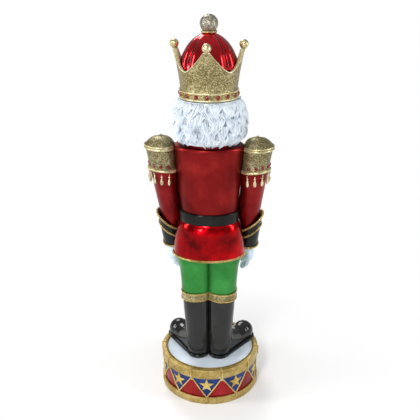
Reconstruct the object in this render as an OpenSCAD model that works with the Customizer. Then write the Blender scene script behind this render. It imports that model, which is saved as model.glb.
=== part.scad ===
// Nutcracker king standing on a toy drum: a painted cast figure, 914 mm tall.
// The figure faces -Y, its back is towards +Y, and +X is its own left side.
// The origin is the middle of the drum's underside, so the figure rests on z = 0.

/* [Drum base] */
// Diameter over the two gold hoops
drum_d = 244; // [232:1:256]
// Height of the drum up to the top of its upper hoop
drum_h = 96; // [90:1:104]
// Height of the upper hoop
top_hoop_h = 24; // [20:1:26]
// Height of the lower hoop
bottom_hoop_h = 18; // [15:1:20]
// Wall thickness of the drum's shell
drum_wall = 8; // [7:0.5:10]
// Number of triangles of each colour round the drum
zigzag_count = 10; // [9:1:11]
// Width of the raised gold cord
cord_w = 5; // [4:0.5:5.5]
// Radius of the gold stars, centre to point
star_r = 18; // [14:0.5:19]

/* [Legs] */
// Distance of the figure's axis behind the drum's axis
stance_back = 30; // [26:1:34]
// Angle that each foot turns outwards
foot_splay = 35; // [30:1:38]
// Gap between the two boots
leg_gap = 0.8; // [0.6:0.2:1.4]
// Height of the boot from the drum head to its gold band
boot_h = 158; // [150:1:166]
// Width of the boot at its gold band
boot_top_w = 63; // [59:1:65]
// Width of the boot at its ankle
ankle_w = 56; // [54:1:58]
// Length of the sole
foot_l = 153; // [146:1:158]
// Height of the gold band on each boot
boot_band_h = 20; // [16:1:24]
// Height of the trousers between the boots and the coat
trouser_h = 96; // [88:1:104]
// Width of each trouser leg at the coat
trouser_top_w = 73; // [69:1:74]

/* [Coat] */
// Half width of the coat at its hem
hem_a = 84; // [82:0.5:88]
// Half width of the coat just above the belt
waist_a = 64.5; // [62:0.5:66]
// Half width of the coat at the shoulders
shoulder_a = 80; // [78:0.5:81]
// Depth of the coat as a share of its width
coat_depth = 0.7; // [0.66:0.01:0.74]
// Height of the skirt from hem to belt
skirt_h = 86; // [80:1:92]
// Height of the belt
belt_h = 26; // [22:1:30]
// Height of the coat from belt to shoulder
torso_h = 156; // [150:1:160]

/* [Arms] */
// Distance of the arm's upper end from the middle of the figure
arm_x = 102.5; // [101:0.5:104]
// Length of the arm from its upper end to the edge of the cuff
arm_l = 232; // [228:1:236]
// Angle that the arm leans in towards the body
arm_lean_in = 3.2; // [3:0.1:3.4]
// Angle that the arm reaches forward
arm_reach = 15; // [14.5:0.1:16]
// Radius of the sleeve under the epaulette
sleeve_r = 29; // [27:0.5:29.5]
// Radius of the epaulette at its lower ring
epaulette_r = 31; // [30:0.5:32]
// Height of the epaulette below its cap
epaulette_h = 50; // [46:1:54]

/* [Head and crown] */
// Height of the face and hair between shoulder and crown
face_h = 104; // [98:1:110]
// Radius of the head
head_r = 56; // [54:0.5:57]
// How far the crown's lower band stands out from the head
crown_over = 9; // [8:0.5:10]
// Height of the crown to the tips of its points
crown_h = 105; // [100:1:108]
// Height of the crown in the valleys between its points
crown_valley_h = 62; // [58:1:66]
// Number of red stones round the crown's band
crown_gem_count = 17; // [14:1:19]
// Radius of the gold ball on top
finial_r = 19.4; // [17:0.1:21]

/* [Hidden] */
$fn = 96;
// Clearance of a glued seat, and of a bore round a rod
seat = 0.2;
bore_gap = 0.3;
// Clearance under a thin skin
skin_gap = 0.1;
over = 1;
far = 400;
blend_fn = 24;
small_fn = 16;
oval_step = 6;
turn_step = 30;
leg_fn = 64;
head_fn = 240;

// Levels of the stack, from the floor up
head_recess = 2;
z_stand = drum_h - head_recess;
sole_t = 7;
z_boot = z_stand + sole_t;
z_band = z_stand + boot_h;
z_trouser = z_band + boot_band_h;
z_hem = z_trouser + trouser_h;
z_belt = z_hem + skirt_h;
z_seam = z_belt + belt_h / 2;
z_waist = z_belt + belt_h;
z_shoulder = z_waist + torso_h;
z_crown = z_shoulder + face_h;

// Drum
hoop_r = drum_d / 2;
hoop_proud = 4.5;
shell_r = hoop_r - hoop_proud;
shell_in_r = shell_r - drum_wall;
head_t = 8;
shell_top = z_stand - head_t;
hoop_lip = 11;
head_cord_r = 1.6;
field_z = bottom_hoop_h;
field_h = drum_h - top_hoop_h - bottom_hoop_h;
step = 360 / zigzag_count;
cord_t = cord_w / 2;
cord_slices = 5;
cord_fn = 8;
panel_t = 0.6;
panel_margin = 1.5;
star_points = 5;
star_t = 1.8;
star_waist = 0.42;
star_rise = 0.62;
tie_l = 9;
plate_t = 8;
ledge_h = 12;
ledge_w = 12;
screw_count = 6;
screw_d = 4;
screw_head_d = 8;
screw_head_h = 3;
screw_l = 17;
screw_ring_r = shell_in_r - ledge_w / 2;

// Legs and the steel rods through them
rod_d = 10;
rod_x = 33;
nut_d = 17;
nut_h = 8;
low_nut_h = 4;
nut_pocket_d = 21;
nut_z = 1;
rod_grip = 40;
spigot_r = 24;
spigot_h = 20;
hem_recess = 5;
hem_wall = 6;
boot_top_d = 66;
ankle_d = 60;
trouser_low_w = boot_top_w;
trouser_low_d = boot_top_d - 2;
trouser_top_d = 74;
leg_corner = 27;
ankle_h = 56;
band_proud = 3.2;
slab = 1;
sole_heel_r = 24.5;
sole_toe_r = 28;
sole_heel_y = 36 - sole_heel_r;
sole_toe_y = sole_heel_y + sole_heel_r - foot_l + sole_toe_r;
welt = 2.5;
toe_r = sole_toe_r - welt;
toe_rise = 10;
instep = 0.45;
instep_in = 2;

// Coat
skirt_top_a = waist_a + 2;
skirt_bell = 1.2;
skirt_rows = 8;
land_a = waist_a - 1.5;
belt_a = waist_a + 4;
belt_draft = 1.2;
ridge = 9;
torso_spigot_r = 20;
torso_spigot_h = 22;
neck_r = 20;
neck_h = 30;
braid_t = 2.4;
hem_braid_h = 6;
braid_draft = 0.8;
side_x = 34;
side_slope = (shoulder_a - waist_a) / torso_h;
buckle_w = 44;
buckle_t = 3;
buckle_rim = 7;
frog_count = 4;
frog_step = 26;
frog_w = 58;
frog_h = 6;
frog_widen = 2;
button_r = 6.5;
button_dome = 0.6;

// Arms
arm_y = 8;
arm_top_drop = 46.5;
sleeve_end_r = 22;
sleeve_flare = 1.5;
sleeve_fold_in = 10;
sleeve_fold_low = 23;
sleeve_fold_high = 67;
sleeve_fold_r = sleeve_end_r - 1;
sleeve_fold_end_r = sleeve_fold_r / 2;
cuff_floor = 30;
cuff_low_r = 23;
cuff_high_r = 29;
cuff_l = 106;
cuff_mid = 78;
cuff_slant = 42;
cuff_second_mid = 48;
cuff_second_slant = 32;
cuff_braid_h = 5.5;
wrist_r = 12;
wrist_h = 24;
wrist_in = 3;
hand_l = 68;
finger_r = 7;
finger_step = 10;
finger_curl = 8;
finger_count = 4;
finger_thick = 1.5;
knuckle_drop = 26;
palm_out = 6;
thumb_root_row = -0.1;
thumb_tip_row = -0.7;
epaulette_x = 103.5;
epaulette_drop = 62;
epaulette_lean = 0.108;
epaulette_tilt = 0.096;
epaulette_flare = 2.5;
epaulette_bead = 3.4;
epaulette_ring_r = epaulette_r + 1.5;
cap_rim_r = epaulette_r + 6;
cap_rim_h = 9;
cap_h = 31;
cap_nub_r = 3.2;
cap_dome_power = 1.2;
shoulder_spigot_r = 15;
shoulder_spigot_h = 18;
dowel_r = 6;
dowel_in = 26;
dowel_out = 24;
dowel_drop = 37;
epaulette_gem_r = 3.2;
tassel_step = 30;
tassel_hidden = 60;
tassel_l = 28;
tassel_r = 3;
tassel_bead = 0.6;
tassel_drop = 0.6;
tassel_power = 1.3;
tassel_full = 1.25;
tassel_neck = 1.2;
tassel_stem_r = 0.9;

// Head and crown
chin_in = 10;
neck_out_r = head_r - chin_in;
collar_h = 13;
collar_t = 5;
chin_h = 28;
hair_lift = 7;
hair_root = 10;
hair_swell = 22;
hair_first = 20;
hair_turn = 140;
hair_power = 1.2;
hair_levels = 14;
hair_step = 4;
hair_ragged = 4;
lock_deep = 3.2;
lock_wave = 2.2;
lock_rows = 5;
lock_turn = 4.5;
lock_row_turn = 40;
lock_wave_turn = 7;
face_half = 66;
temple_in = 6;
temple_w = 26;
mouth_z = z_shoulder + 38;
nose_z = z_shoulder + 66;
eye_z = z_shoulder + 80;
brow_z = z_shoulder + 93;
tooth_w = 8;
tooth_proud = 3;
beard_r = 12;
beard_tip_r = 8;
beard_side = 2;
beard_step = 16;
beard_gather = 0.7;
beard_cheek = 42;
beard_up = 6;
beard_below = 20;
beard_out = 10;
beard_drop = 34;
beard_rise = 9;
moustache_r = 6;
moustache_root_x = 5;
moustache_mid_x = 18;
moustache_tip_x = 33;
moustache_up = 11;
moustache_curl = 18;
moustache_out = 3.5;
nose_r = 7.5;
nose_h = 12;
bridge_r = 4;
eye_x = 20;
eye_r = 9;
eye_dome = 6.5;
eye_in = 3;
brow_in_x = 11;
brow_out_x = 30;
brow_r = 4.4;
brow_tilt = 3;
brow_thin = 1;
crown_points = 4;
crown_r = head_r + crown_over;
crown_wall = 5;
crown_tip_wall = 10;
crown_rows = 6;
crown_flare = 14;
crown_flare_power = 1.4;
crown_step = 2.5;
crown_top_z = z_crown + crown_h;
crown_bead_h = 5;
crown_band_h = 20;
crown_band_in = 1.8;
crown_band_r = crown_r - crown_band_in;
crown_gem_r = 4.7;
crown_ball_r = 9.7;
crown_tip_half = 6.5;
crown_ball_in = 3;
valley_power = 1.55;
valley_step = 0.125;
cap_sink = 49;
cap_peak = 135;
cap_z = z_crown + cap_sink;
cap_equator = 15;
cap_gap = 2.4;
cap_r = crown_r - cap_gap;
cap_tuck = 0.02;
cap_rise = 73;
cap_power = 1.8;
cap_top_z = z_crown + cap_peak;
cap_rows = 10;
cap_row_power = 1.5;
cap_crease = 0.055;
cap_pipe = 0.035;
crease_w = 9;
pipe_w = 2.2;
finial_collar_r = 17.5;
finial_collar_h = 5;
ferrule_turn = 75;
stud_r = 4;
stud_l = 36;
finial_seat = 0.7;
finial_z = cap_top_z + finial_collar_h + finial_seat * finial_r;

// Places shared by several pieces
module on_side(s) {
  if (s > 0) children();
  else mirror([1, 0, 0]) children();
}

module at_figure() {
  translate([0, stance_back, 0]) children();
}

module round_about(count, first = 0) {
  for (i = [0 : count - 1]) rotate([0, 0, first + i * 360 / count]) children();
}

module tube(r_out, r_in, z0, z1) {
  translate([0, 0, z0]) difference() {
    cylinder(r = r_out, h = z1 - z0);
    translate([0, 0, -over]) cylinder(r = r_in, h = z1 - z0 + 2 * over);
  }
}

module rod_bores(z0, z1, gap = bore_gap) {
  for (s = [-1, 1]) translate([s * rod_x, 0, z0]) cylinder(d = rod_d + 2 * gap, h = z1 - z0);
}

// A solid skinned over rings of points, each ring listed the same way round, from the lowest up
module skinned(rings) {
  n = len(rings[0]);
  last = len(rings) - 1;
  points = [for (ring = rings) for (p = ring) p];
  sides = [for (i = [0 : last - 1]) for (j = [0 : n - 1])
    each [[i * n + j, (i + 1) * n + j, i * n + (j + 1) % n],
          [i * n + (j + 1) % n, (i + 1) * n + j, (i + 1) * n + (j + 1) % n]]];
  floor_cap = [[for (j = [0 : n - 1]) j]];
  top_cap = [[for (j = [n - 1 : -1 : 0]) last * n + j]];
  polyhedron(points = points, faces = concat(sides, floor_cap, top_cap), convexity = 6);
}

// Drum base
module base_plate() {
  color("dimgray") difference() {
    cylinder(r = shell_in_r - seat, h = plate_t);
    round_about(screw_count) translate([screw_ring_r, 0, 0]) {
      translate([0, 0, -over]) cylinder(d = screw_d + 2 * bore_gap, h = plate_t + 2 * over);
      translate([0, 0, -seat]) screw_head(seat);
    }
    at_figure() rod_bores(-over, plate_t + over);
    at_figure() for (s = [-1, 1]) translate([s * rod_x, 0, -over])
      cylinder(d = nut_pocket_d, h = nut_z + low_nut_h + over);
  }
}

module screw_head(grow = 0) {
  cylinder(d1 = screw_head_d + 2 * grow, d2 = screw_d + 2 * grow, h = screw_head_h);
}

module base_screws() {
  color("silver") round_about(screw_count) translate([screw_ring_r, 0, 0]) {
    screw_head();
    cylinder(d = screw_d, h = screw_l);
  }
}

module drum_shell() {
  color("firebrick") difference() {
    rotate_extrude() polygon([
      [shell_in_r, 0], [shell_r, 0], [shell_r, shell_top], [shell_in_r, shell_top],
      [shell_in_r, plate_t + ledge_h + ledge_w], [shell_in_r - ledge_w, plate_t + ledge_h],
      [shell_in_r - ledge_w, plate_t], [shell_in_r, plate_t]
    ]);
    round_about(screw_count) translate([screw_ring_r, 0, plate_t - over])
      cylinder(d = screw_d + seat, h = screw_l - plate_t + 2 * over);
  }
}

// A curved plate lying on the drum wall, cut to the outline given in width and height
module wall_plate(r, t) {
  intersection() {
    tube(r + t, r, field_z, field_z + field_h);
    rotate([90, 0, 90]) translate([0, 0, r / 2]) linear_extrude(r) children();
  }
}

module triangle_outline() {
  half_w = shell_r * sin(step / 2);
  inset = cord_w;
  polygon([
    [0, field_z + inset * field_h / half_w],
    [half_w - inset * panel_margin, field_z + field_h - seat],
    [inset * panel_margin - half_w, field_z + field_h - seat]
  ]);
}

module star_outline() {
  centre_z = field_z + field_h * star_rise;
  polygon([for (i = [0 : 2 * star_points - 1])
    let (r = i % 2 == 0 ? star_r : star_r * star_waist)
    [r * sin(i * 180 / star_points), centre_z + r * cos(i * 180 / star_points)]]);
}

module drum_blue_panels() {
  color("midnightblue") round_about(zigzag_count, 90)
    wall_plate(shell_r + skin_gap, panel_t) triangle_outline();
}

module drum_stars() {
  color("goldenrod") round_about(zigzag_count, 90)
    wall_plate(shell_r + panel_t + 2 * skin_gap, star_t) star_outline();
}

module cord_section(r) {
  polygon([for (t = [-90 : turn_step : 90]) [r + cord_t * cos(t), cord_t * sin(t)]]);
}

module hoop_tie(z0, z1) {
  translate([0, 0, z0]) linear_extrude(z1 - z0) cord_section(hoop_r + skin_gap);
}

module drum_cords() {
  color("goldenrod") {
    round_about(zigzag_count, 90) for (turn = [-step / 2, step / 2])
      translate([0, 0, field_z]) linear_extrude(field_h, twist = -turn, slices = cord_slices, $fn = cord_fn)
        cord_section(shell_r + skin_gap);
    round_about(zigzag_count, 90) hoop_tie(bottom_hoop_h - tie_l, bottom_hoop_h);
    round_about(zigzag_count, 90 + step / 2) {
      hoop_tie(drum_h - top_hoop_h, drum_h + cord_t / 2);
      translate([hoop_r - hoop_lip, 0, drum_h + skin_gap]) rotate([90, 0, 90]) intersection() {
        cylinder(d = cord_w, h = hoop_lip);
        translate([-cord_w, 0, 0]) cube([2 * cord_w, cord_t / 2, hoop_lip]);
      }
    }
  }
}

module bottom_hoop() {
  color("darkgoldenrod") tube(hoop_r, shell_r + seat, 0, bottom_hoop_h);
}

module top_hoop() {
  color("darkgoldenrod") difference() {
    tube(hoop_r, hoop_r - hoop_lip, drum_h - top_hoop_h, drum_h);
    translate([0, 0, -over]) cylinder(r = shell_r + seat, h = z_stand + over);
  }
}

module drum_head() {
  color("whitesmoke") difference() {
    translate([0, 0, shell_top]) cylinder(r = shell_r, h = head_t);
    at_figure() rod_bores(shell_top - over, z_stand + over);
  }
}

module head_cord() {
  color("goldenrod") translate([0, 0, z_stand + head_cord_r])
    rotate_extrude() translate([hoop_r - hoop_lip - head_cord_r, 0]) circle(r = head_cord_r, $fn = blend_fn);
}

// Legs
module leg_rods() {
  color("gray") at_figure() rod_bores(nut_z, z_hem + hem_recess + spigot_h + rod_grip, 0);
}

module rod_nuts() {
  color("silver") at_figure() for (s = [-1, 1]) translate([s * rod_x, 0, 0]) {
    translate([0, 0, nut_z]) nut(low_nut_h);
    translate([0, 0, plate_t]) nut(nut_h);
  }
}

module nut(h) {
  difference() {
    cylinder(d = nut_d, h = h, $fn = 6);
    translate([0, 0, -over]) cylinder(d = rod_d + 2 * seat, h = h + 2 * over);
  }
}

module foot_frame(s) {
  at_figure() on_side(s) translate([rod_x, 0, 0]) rotate([0, 0, foot_splay]) children();
}

module sole(s) {
  color("black") difference() {
    foot_frame(s) translate([0, 0, z_stand]) linear_extrude(sole_t) hull() {
      translate([0, sole_heel_y]) circle(r = sole_heel_r);
      translate([0, sole_toe_y]) circle(r = sole_toe_r);
    }
    tube(far, hoop_r - hoop_lip - 2 * head_cord_r - bore_gap, z_stand - over, drum_h + cord_t / 2 + bore_gap);
    at_figure() rod_bores(z_stand - over, z_boot + over);
  }
}

// Cross-section of a leg: a rounded block whose inner side lies beside the other leg
module leg_slab(s, z, w, d, h = slab) {
  x0 = leg_gap / 2 + leg_corner;
  x1 = leg_gap / 2 + w - leg_corner;
  y1 = d / 2 - leg_corner;
  at_figure() on_side(s) translate([0, 0, z]) hull()
    for (x = [x0, max(x0, x1)], y = [-y1, y1])
      translate([x, y, 0]) cylinder(r = leg_corner, h = h, $fn = leg_fn);
}

module toe_ball(s, y, r, rise) {
  foot_frame(s) translate([0, y, z_boot + rise]) sphere(r = r, $fn = blend_fn);
}

module boot(s) {
  color("dimgray") difference() {
    union() {
      hull() {
        leg_slab(s, z_band - slab, boot_top_w, boot_top_d);
        leg_slab(s, z_stand + ankle_h, ankle_w, ankle_d);
      }
      hull() {
        leg_slab(s, z_stand + ankle_h, ankle_w, ankle_d);
        foot_frame(s) translate([0, sole_heel_y, z_boot])
          cylinder(r = sole_heel_r - welt, h = slab, $fn = blend_fn);
        toe_ball(s, sole_toe_y * instep, toe_r - instep_in, toe_rise);
      }
      hull() {
        toe_ball(s, sole_toe_y * instep, toe_r - instep_in, toe_rise - instep_in);
        toe_ball(s, sole_toe_y, toe_r, toe_rise);
      }
    }
    translate([0, 0, z_boot - far]) cube([2 * far, 2 * far, 2 * far], center = true);
    at_figure() rod_bores(z_boot - over, z_band + over);
  }
}

module boot_band(s) {
  color("darkgoldenrod") difference() {
    leg_slab(s, z_band, boot_top_w + band_proud, boot_top_d + 2 * band_proud, boot_band_h);
    translate([0, 0, -over]) leg_slab(s, z_band, trouser_low_w + seat, trouser_low_d + 2 * seat,
      boot_band_h + 2 * over);
  }
}

module trouser_leg(s) {
  top = z_hem + hem_recess;
  color("forestgreen") difference() {
    union() {
      leg_slab(s, z_band, trouser_low_w, trouser_low_d, boot_band_h + over);
      hull() {
        leg_slab(s, z_trouser, trouser_low_w, trouser_low_d);
        leg_slab(s, top - slab, trouser_top_w, trouser_top_d);
      }
      at_figure() on_side(s) translate([rod_x, 0, top - slab]) cylinder(r = spigot_r, h = spigot_h + slab);
    }
    at_figure() rod_bores(z_band - over, top + spigot_h + over);
  }
}

// Coat: oval forms skinned over a profile of half widths and heights, from the lowest up
module oval(profile) {
  at_figure() skinned([for (p = profile)
    [for (t = [0 : oval_step : 359]) [p[0] * cos(t), p[0] * coat_depth * sin(t), p[1]]]]);
}

// A closed band round the coat; its section is a loop of [half width, level] corners
module oval_band(section) {
  turns = [for (t = [0 : oval_step : 359]) t];
  n = len(turns);
  m = len(section);
  points = [for (p = section) for (t = turns) [p[0] * cos(t), p[0] * coat_depth * sin(t), p[1]]];
  sides = [for (i = [0 : m - 1]) for (j = [0 : n - 1])
    each [[i * n + j, (i + 1) % m * n + j, i * n + (j + 1) % n],
          [i * n + (j + 1) % n, (i + 1) % m * n + j, (i + 1) % m * n + (j + 1) % n]]];
  at_figure() polyhedron(points = points, faces = sides, convexity = 4);
}

function skirt_a(z) = hem_a + (skirt_top_a - hem_a) * pow((z - z_hem) / skirt_h, skirt_bell);

function skirt_row(i) = z_hem + i * skirt_h / skirt_rows;

module coat_skirt() {
  color("crimson") difference() {
    oval(concat(
      [for (i = [0 : skirt_rows]) [skirt_a(skirt_row(i)), skirt_row(i)]],
      [[land_a, z_belt], [land_a, z_seam]]));
    oval([[hem_a - hem_wall, z_hem - over], [hem_a - hem_wall, z_hem + hem_recess]]);
    at_figure() {
      for (s = [-1, 1]) translate([s * rod_x, 0, z_hem])
        cylinder(r = spigot_r + seat, h = hem_recess + spigot_h + seat);
      rod_bores(z_hem, z_hem + hem_recess + spigot_h + rod_grip + over);
      translate([0, 0, z_seam - torso_spigot_h - seat])
        cylinder(r = torso_spigot_r + seat, h = torso_spigot_h + over);
    }
  }
}

module hem_braid() {
  top = z_hem + hem_braid_h;
  mid = z_hem + hem_braid_h / 2;
  color("darkgoldenrod") oval_band([
    [skirt_a(z_hem) + braid_t / 2, z_hem],
    [skirt_a(mid) + braid_t, mid],
    [skirt_a(top) + braid_t / 2, top - braid_draft],
    [skirt_a(top), top],
    [skirt_a(z_hem), z_hem + braid_draft]]);
}

function coat_a(z) = waist_a + (shoulder_a - waist_a) * (z - z_waist) / (torso_h - ridge);

module coat_form(grow = 0) {
  top = z_shoulder + grow;
  a = shoulder_a + grow;
  oval(concat([[waist_a + grow, z_waist]],
    [for (t = [0 : 18 : 90]) [a - ridge + ridge * cos(t), top - ridge + ridge * sin(t)]]));
}

// The side of the coat that an arm is seated on: a cone that holds the oval there
module coat_side(s, grow) {
  at_figure() on_side(s) translate([side_x, 0, z_waist])
    cylinder(r1 = waist_a - side_x + grow, r2 = shoulder_a - side_x + grow + ridge * side_slope,
      h = torso_h + grow);
}

module coat_body() {
  color("firebrick") difference() {
    union() {
      coat_form();
      oval([[land_a, z_seam], [land_a, z_waist + over]]);
      at_figure() translate([0, 0, z_seam - torso_spigot_h])
        cylinder(r = torso_spigot_r, h = torso_spigot_h + over);
    }
    at_figure() {
      translate([0, 0, z_shoulder - neck_h - seat]) cylinder(r = neck_r + seat, h = neck_h + 2 * over);
      dowel_bores(seat);
    }
  }
}

module dowel_bores(gap) {
  for (s = [0, 1]) mirror([s, 0, 0])
    translate([shoulder_a - dowel_in - gap, 0, z_shoulder - dowel_drop]) rotate([0, 90, 0])
      cylinder(r = dowel_r + gap, h = dowel_in + dowel_out + 2 * gap);
}

module arm_dowels() {
  color("burlywood") at_figure() dowel_bores(0);
}

module belt() {
  color("black") oval_band([
    [belt_a, z_belt + seat + belt_draft],
    [belt_a, z_waist - seat - belt_draft],
    [land_a + seat, z_waist - seat],
    [land_a + seat, z_belt + seat]]);
}

// Trim on the front: a skin of thickness t over an oval of half widths a0 and a1, cut to a width
module front_trim(w, t, a0, z0, a1, z1) {
  rise = (a1 - a0) / (z1 - z0);
  difference() {
    intersection() {
      oval([[a0 + t, z0], [a1 + t, z1]]);
      at_figure() translate([-w / 2, -far, z0 - over]) cube([w, far, z1 - z0 + 2 * over]);
    }
    oval([[a0 - rise * over, z0 - over], [a1 + rise * over, z1 + over]]);
  }
}

module belt_buckle() {
  color("goldenrod") difference() {
    front_trim(buckle_w, buckle_t, belt_a, z_belt + over, belt_a, z_waist - over);
    at_figure() translate([buckle_rim - buckle_w / 2, -far, z_belt + buckle_rim])
      cube([buckle_w - 2 * buckle_rim, far, belt_h - 2 * buckle_rim]);
  }
}

function frog_z(i) = z_waist + frog_step * (i + 1);
function frog_half(i) = frog_w / 2 + frog_widen * i;

module coat_frogs() {
  color("darkgoldenrod") for (i = [0 : frog_count - 1]) {
    z0 = frog_z(i) - frog_h / 2;
    z1 = frog_z(i) + frog_h / 2;
    front_trim(2 * frog_half(i), braid_t, coat_a(z0), z0, coat_a(z1), z1);
  }
}

module coat_buttons() {
  color("goldenrod") for (i = [0 : frog_count - 1], s = [-1, 0, 1]) {
    x = s * (frog_half(i) - button_r);
    a = coat_a(frog_z(i)) + braid_t;
    y = -coat_depth * sqrt(a * a - x * x) - seat;
    turn = atan2(x * coat_depth * coat_depth, -y);
    at_figure() translate([x, y, frog_z(i)]) rotate([90, 0, turn]) domed(button_r, button_r * button_dome);
  }
}

// A domed stone or button of radius r and height h whose flat back lies on z = 0
module domed(r, h) {
  ball_r = (r * r + h * h) / (2 * h);
  intersection() {
    translate([0, 0, h - ball_r]) sphere(r = ball_r);
    cylinder(r = 2 * r, h = 2 * h);
  }
}

module collar() {
  color("firebrick") at_figure()
    tube(neck_out_r + seat + collar_t, neck_out_r + seat, z_shoulder, z_shoulder + collar_h);
}

// Arms
module arm_frame(s) {
  at_figure() on_side(s) translate([arm_x, arm_y, z_shoulder - arm_top_drop])
    rotate([-arm_reach, arm_lean_in, 0]) children();
}

module epaulette_frame(s) {
  at_figure() on_side(s) translate([epaulette_x, 0, z_shoulder - epaulette_drop])
    multmatrix([[1, 0, epaulette_lean, 0], [0, 1, 0, 0], [epaulette_tilt, 0, 1, 0]]) children();
}

module shoulder_spigot(s, gap) {
  at_figure() on_side(s) translate([epaulette_x, 0, z_shoulder - epaulette_drop - 2 * epaulette_bead])
    cylinder(r = shoulder_spigot_r + gap, h = 2 * epaulette_bead + shoulder_spigot_h + gap);
}

module sleeve(s) {
  color("firebrick") difference() {
    union() {
      difference() {
        arm_frame(s) {
          translate([0, 0, -arm_l + cuff_l - over]) cylinder(r1 = sleeve_end_r, r2 = sleeve_r + sleeve_flare,
            h = arm_l - cuff_l + arm_top_drop / 2);
          translate([-sleeve_fold_in, 0, -arm_l + cuff_l]) sleeve_fold();
          translate([0, 0, -arm_l + cuff_floor]) cylinder(r = sleeve_end_r, h = cuff_l - cuff_floor);
        }
        at_figure() on_side(s) translate([epaulette_x, 0, z_shoulder - epaulette_drop])
          rotate([0, -atan(epaulette_tilt), 0]) translate([-far / 2, -far / 2, 0]) cube(far);
      }
      shoulder_spigot(s, 0);
    }
    coat_side(s, bore_gap);
  }
}

// Fullness of the sleeve on its inner side, where it folds against the coat
module sleeve_fold() {
  rotate_extrude() polygon([
    [0, 0],
    [sleeve_fold_end_r, 0],
    [sleeve_fold_r, sleeve_fold_low],
    [sleeve_fold_end_r, sleeve_fold_high],
    [0, sleeve_fold_high]
  ]);
}

module cuff_cone(grow = 0) {
  translate([0, 0, -arm_l]) cylinder(r1 = cuff_low_r + grow, r2 = cuff_high_r + grow, h = cuff_l);
}

// Half-space above a slanted line round the cuff, its middle at a height above the cuff's edge
module above_slant(mid, slant) {
  translate([0, 0, mid - arm_l]) rotate([0, -slant, 0]) translate([-far / 2, -far / 2, 0]) cube(far);
}

module cuff(s) {
  color("black") arm_frame(s) difference() {
    cuff_cone();
    above_slant(cuff_mid, cuff_slant);
    translate([0, 0, -arm_l + cuff_floor - seat]) cylinder(r = sleeve_end_r + seat, h = cuff_l);
    translate([0, 0, -arm_l - over]) cylinder(r = wrist_r + seat, h = wrist_h + over + seat);
  }
}

module slanted_braid(mid, slant) {
  intersection() {
    difference() {
      cuff_cone(braid_t);
      cuff_cone(0);
    }
    difference() {
      above_slant(mid - cuff_braid_h / cos(slant), slant);
      above_slant(mid, slant);
    }
  }
}

module cuff_braids(s) {
  color("darkgoldenrod") arm_frame(s) {
    slanted_braid(cuff_mid, cuff_slant);
    slanted_braid(cuff_second_mid, cuff_second_slant);
    slanted_braid(cuff_braid_h, 0);
  }
}

module glove(s) {
  color("whitesmoke") arm_frame(s) translate([0, 0, -arm_l]) {
    cylinder(r = wrist_r, h = wrist_h);
    intersection() {
      union() {
        hull() {
          translate([0, 0, -wrist_in]) cylinder(r = wrist_r + wrist_in, h = wrist_in, $fn = small_fn);
          for (i = [0, finger_count - 1]) hand_ball(finger_thick, i, knuckle_drop, finger_r + palm_out);
        }
        for (i = [0 : finger_count - 1]) hull() {
          hand_ball(0, i, knuckle_drop, finger_r + finger_thick);
          hand_ball(-finger_curl, i, hand_l - finger_r, finger_r);
        }
        hull() {
          hand_ball(-palm_out, thumb_root_row, knuckle_drop / 2, finger_r);
          hand_ball(-finger_curl, thumb_tip_row, knuckle_drop + finger_r, finger_r);
        }
      }
      translate([-far / 2, -far / 2, -far]) cube(far);
    }
  }
}

// A ball of the hand at a depth from its back, in the row of a finger, at a drop below the cuff
module hand_ball(x, row, drop, r) {
  translate([x, (row - (finger_count - 1) / 2) * finger_step, -drop]) sphere(r = r, $fn = small_fn);
}

// Epaulettes
module epaulette(s) {
  r = epaulette_r;
  ring_r = epaulette_ring_r;
  color("darkgoldenrod") difference() {
    epaulette_frame(s) rotate_extrude() polygon(concat(
      [[0, 0]],
      [for (t = [-90 : turn_step : 90]) [ring_r + epaulette_bead * cos(t), epaulette_bead * (1 + sin(t))]],
      [[r, 2 * epaulette_bead], [r + epaulette_flare, epaulette_h], [0, epaulette_h]]));
    shoulder_spigot(s, seat);
    coat_side(s, bore_gap);
    at_figure() dowel_bores(seat);
  }
}

module epaulette_cap(s) {
  r = cap_rim_r;
  rim = cap_rim_h / 4;
  dome = cap_h - cap_rim_h - cap_nub_r;
  color("darkgoldenrod") difference() {
    epaulette_frame(s) translate([0, 0, epaulette_h]) {
      rotate_extrude() polygon(concat(
        [[0, 0], [r - rim, 0]],
        [for (t = [-60 : turn_step : 60]) [r - rim + rim * cos(t), rim * (1 + sin(t))]],
        [for (t = [-60 : turn_step : 90]) [r - rim + rim * cos(t), rim * (3 + sin(t))]],
        [for (t = [0 : 15 : 75]) [(r - 2 * rim) * cos(t), cap_rim_h + dome * pow(sin(t), cap_dome_power)]],
        [[0, cap_rim_h + dome]]));
      translate([0, 0, cap_rim_h + dome]) sphere(r = cap_nub_r, $fn = blend_fn);
    }
    coat_side(s, bore_gap);
  }
}

// Places round an epaulette at a radius and height, leaving out the side against the coat
module on_epaulette(r, h) {
  for (s = [-1, 1], a = [tassel_hidden - 180 : tassel_step : 180 - tassel_hidden])
    at_figure() on_side(s) translate([
      epaulette_x + r * cos(a) + epaulette_lean * h,
      r * sin(a),
      z_shoulder - epaulette_drop + h + epaulette_tilt * r * cos(a)])
      rotate([0, 0, a]) children();
}

module epaulette_gems() {
  h = 4 * epaulette_bead;
  color("crimson") on_epaulette(epaulette_r + epaulette_flare * h / epaulette_h + seat, h)
    rotate([0, 90, 0]) domed(epaulette_gem_r, epaulette_gem_r);
}

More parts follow.
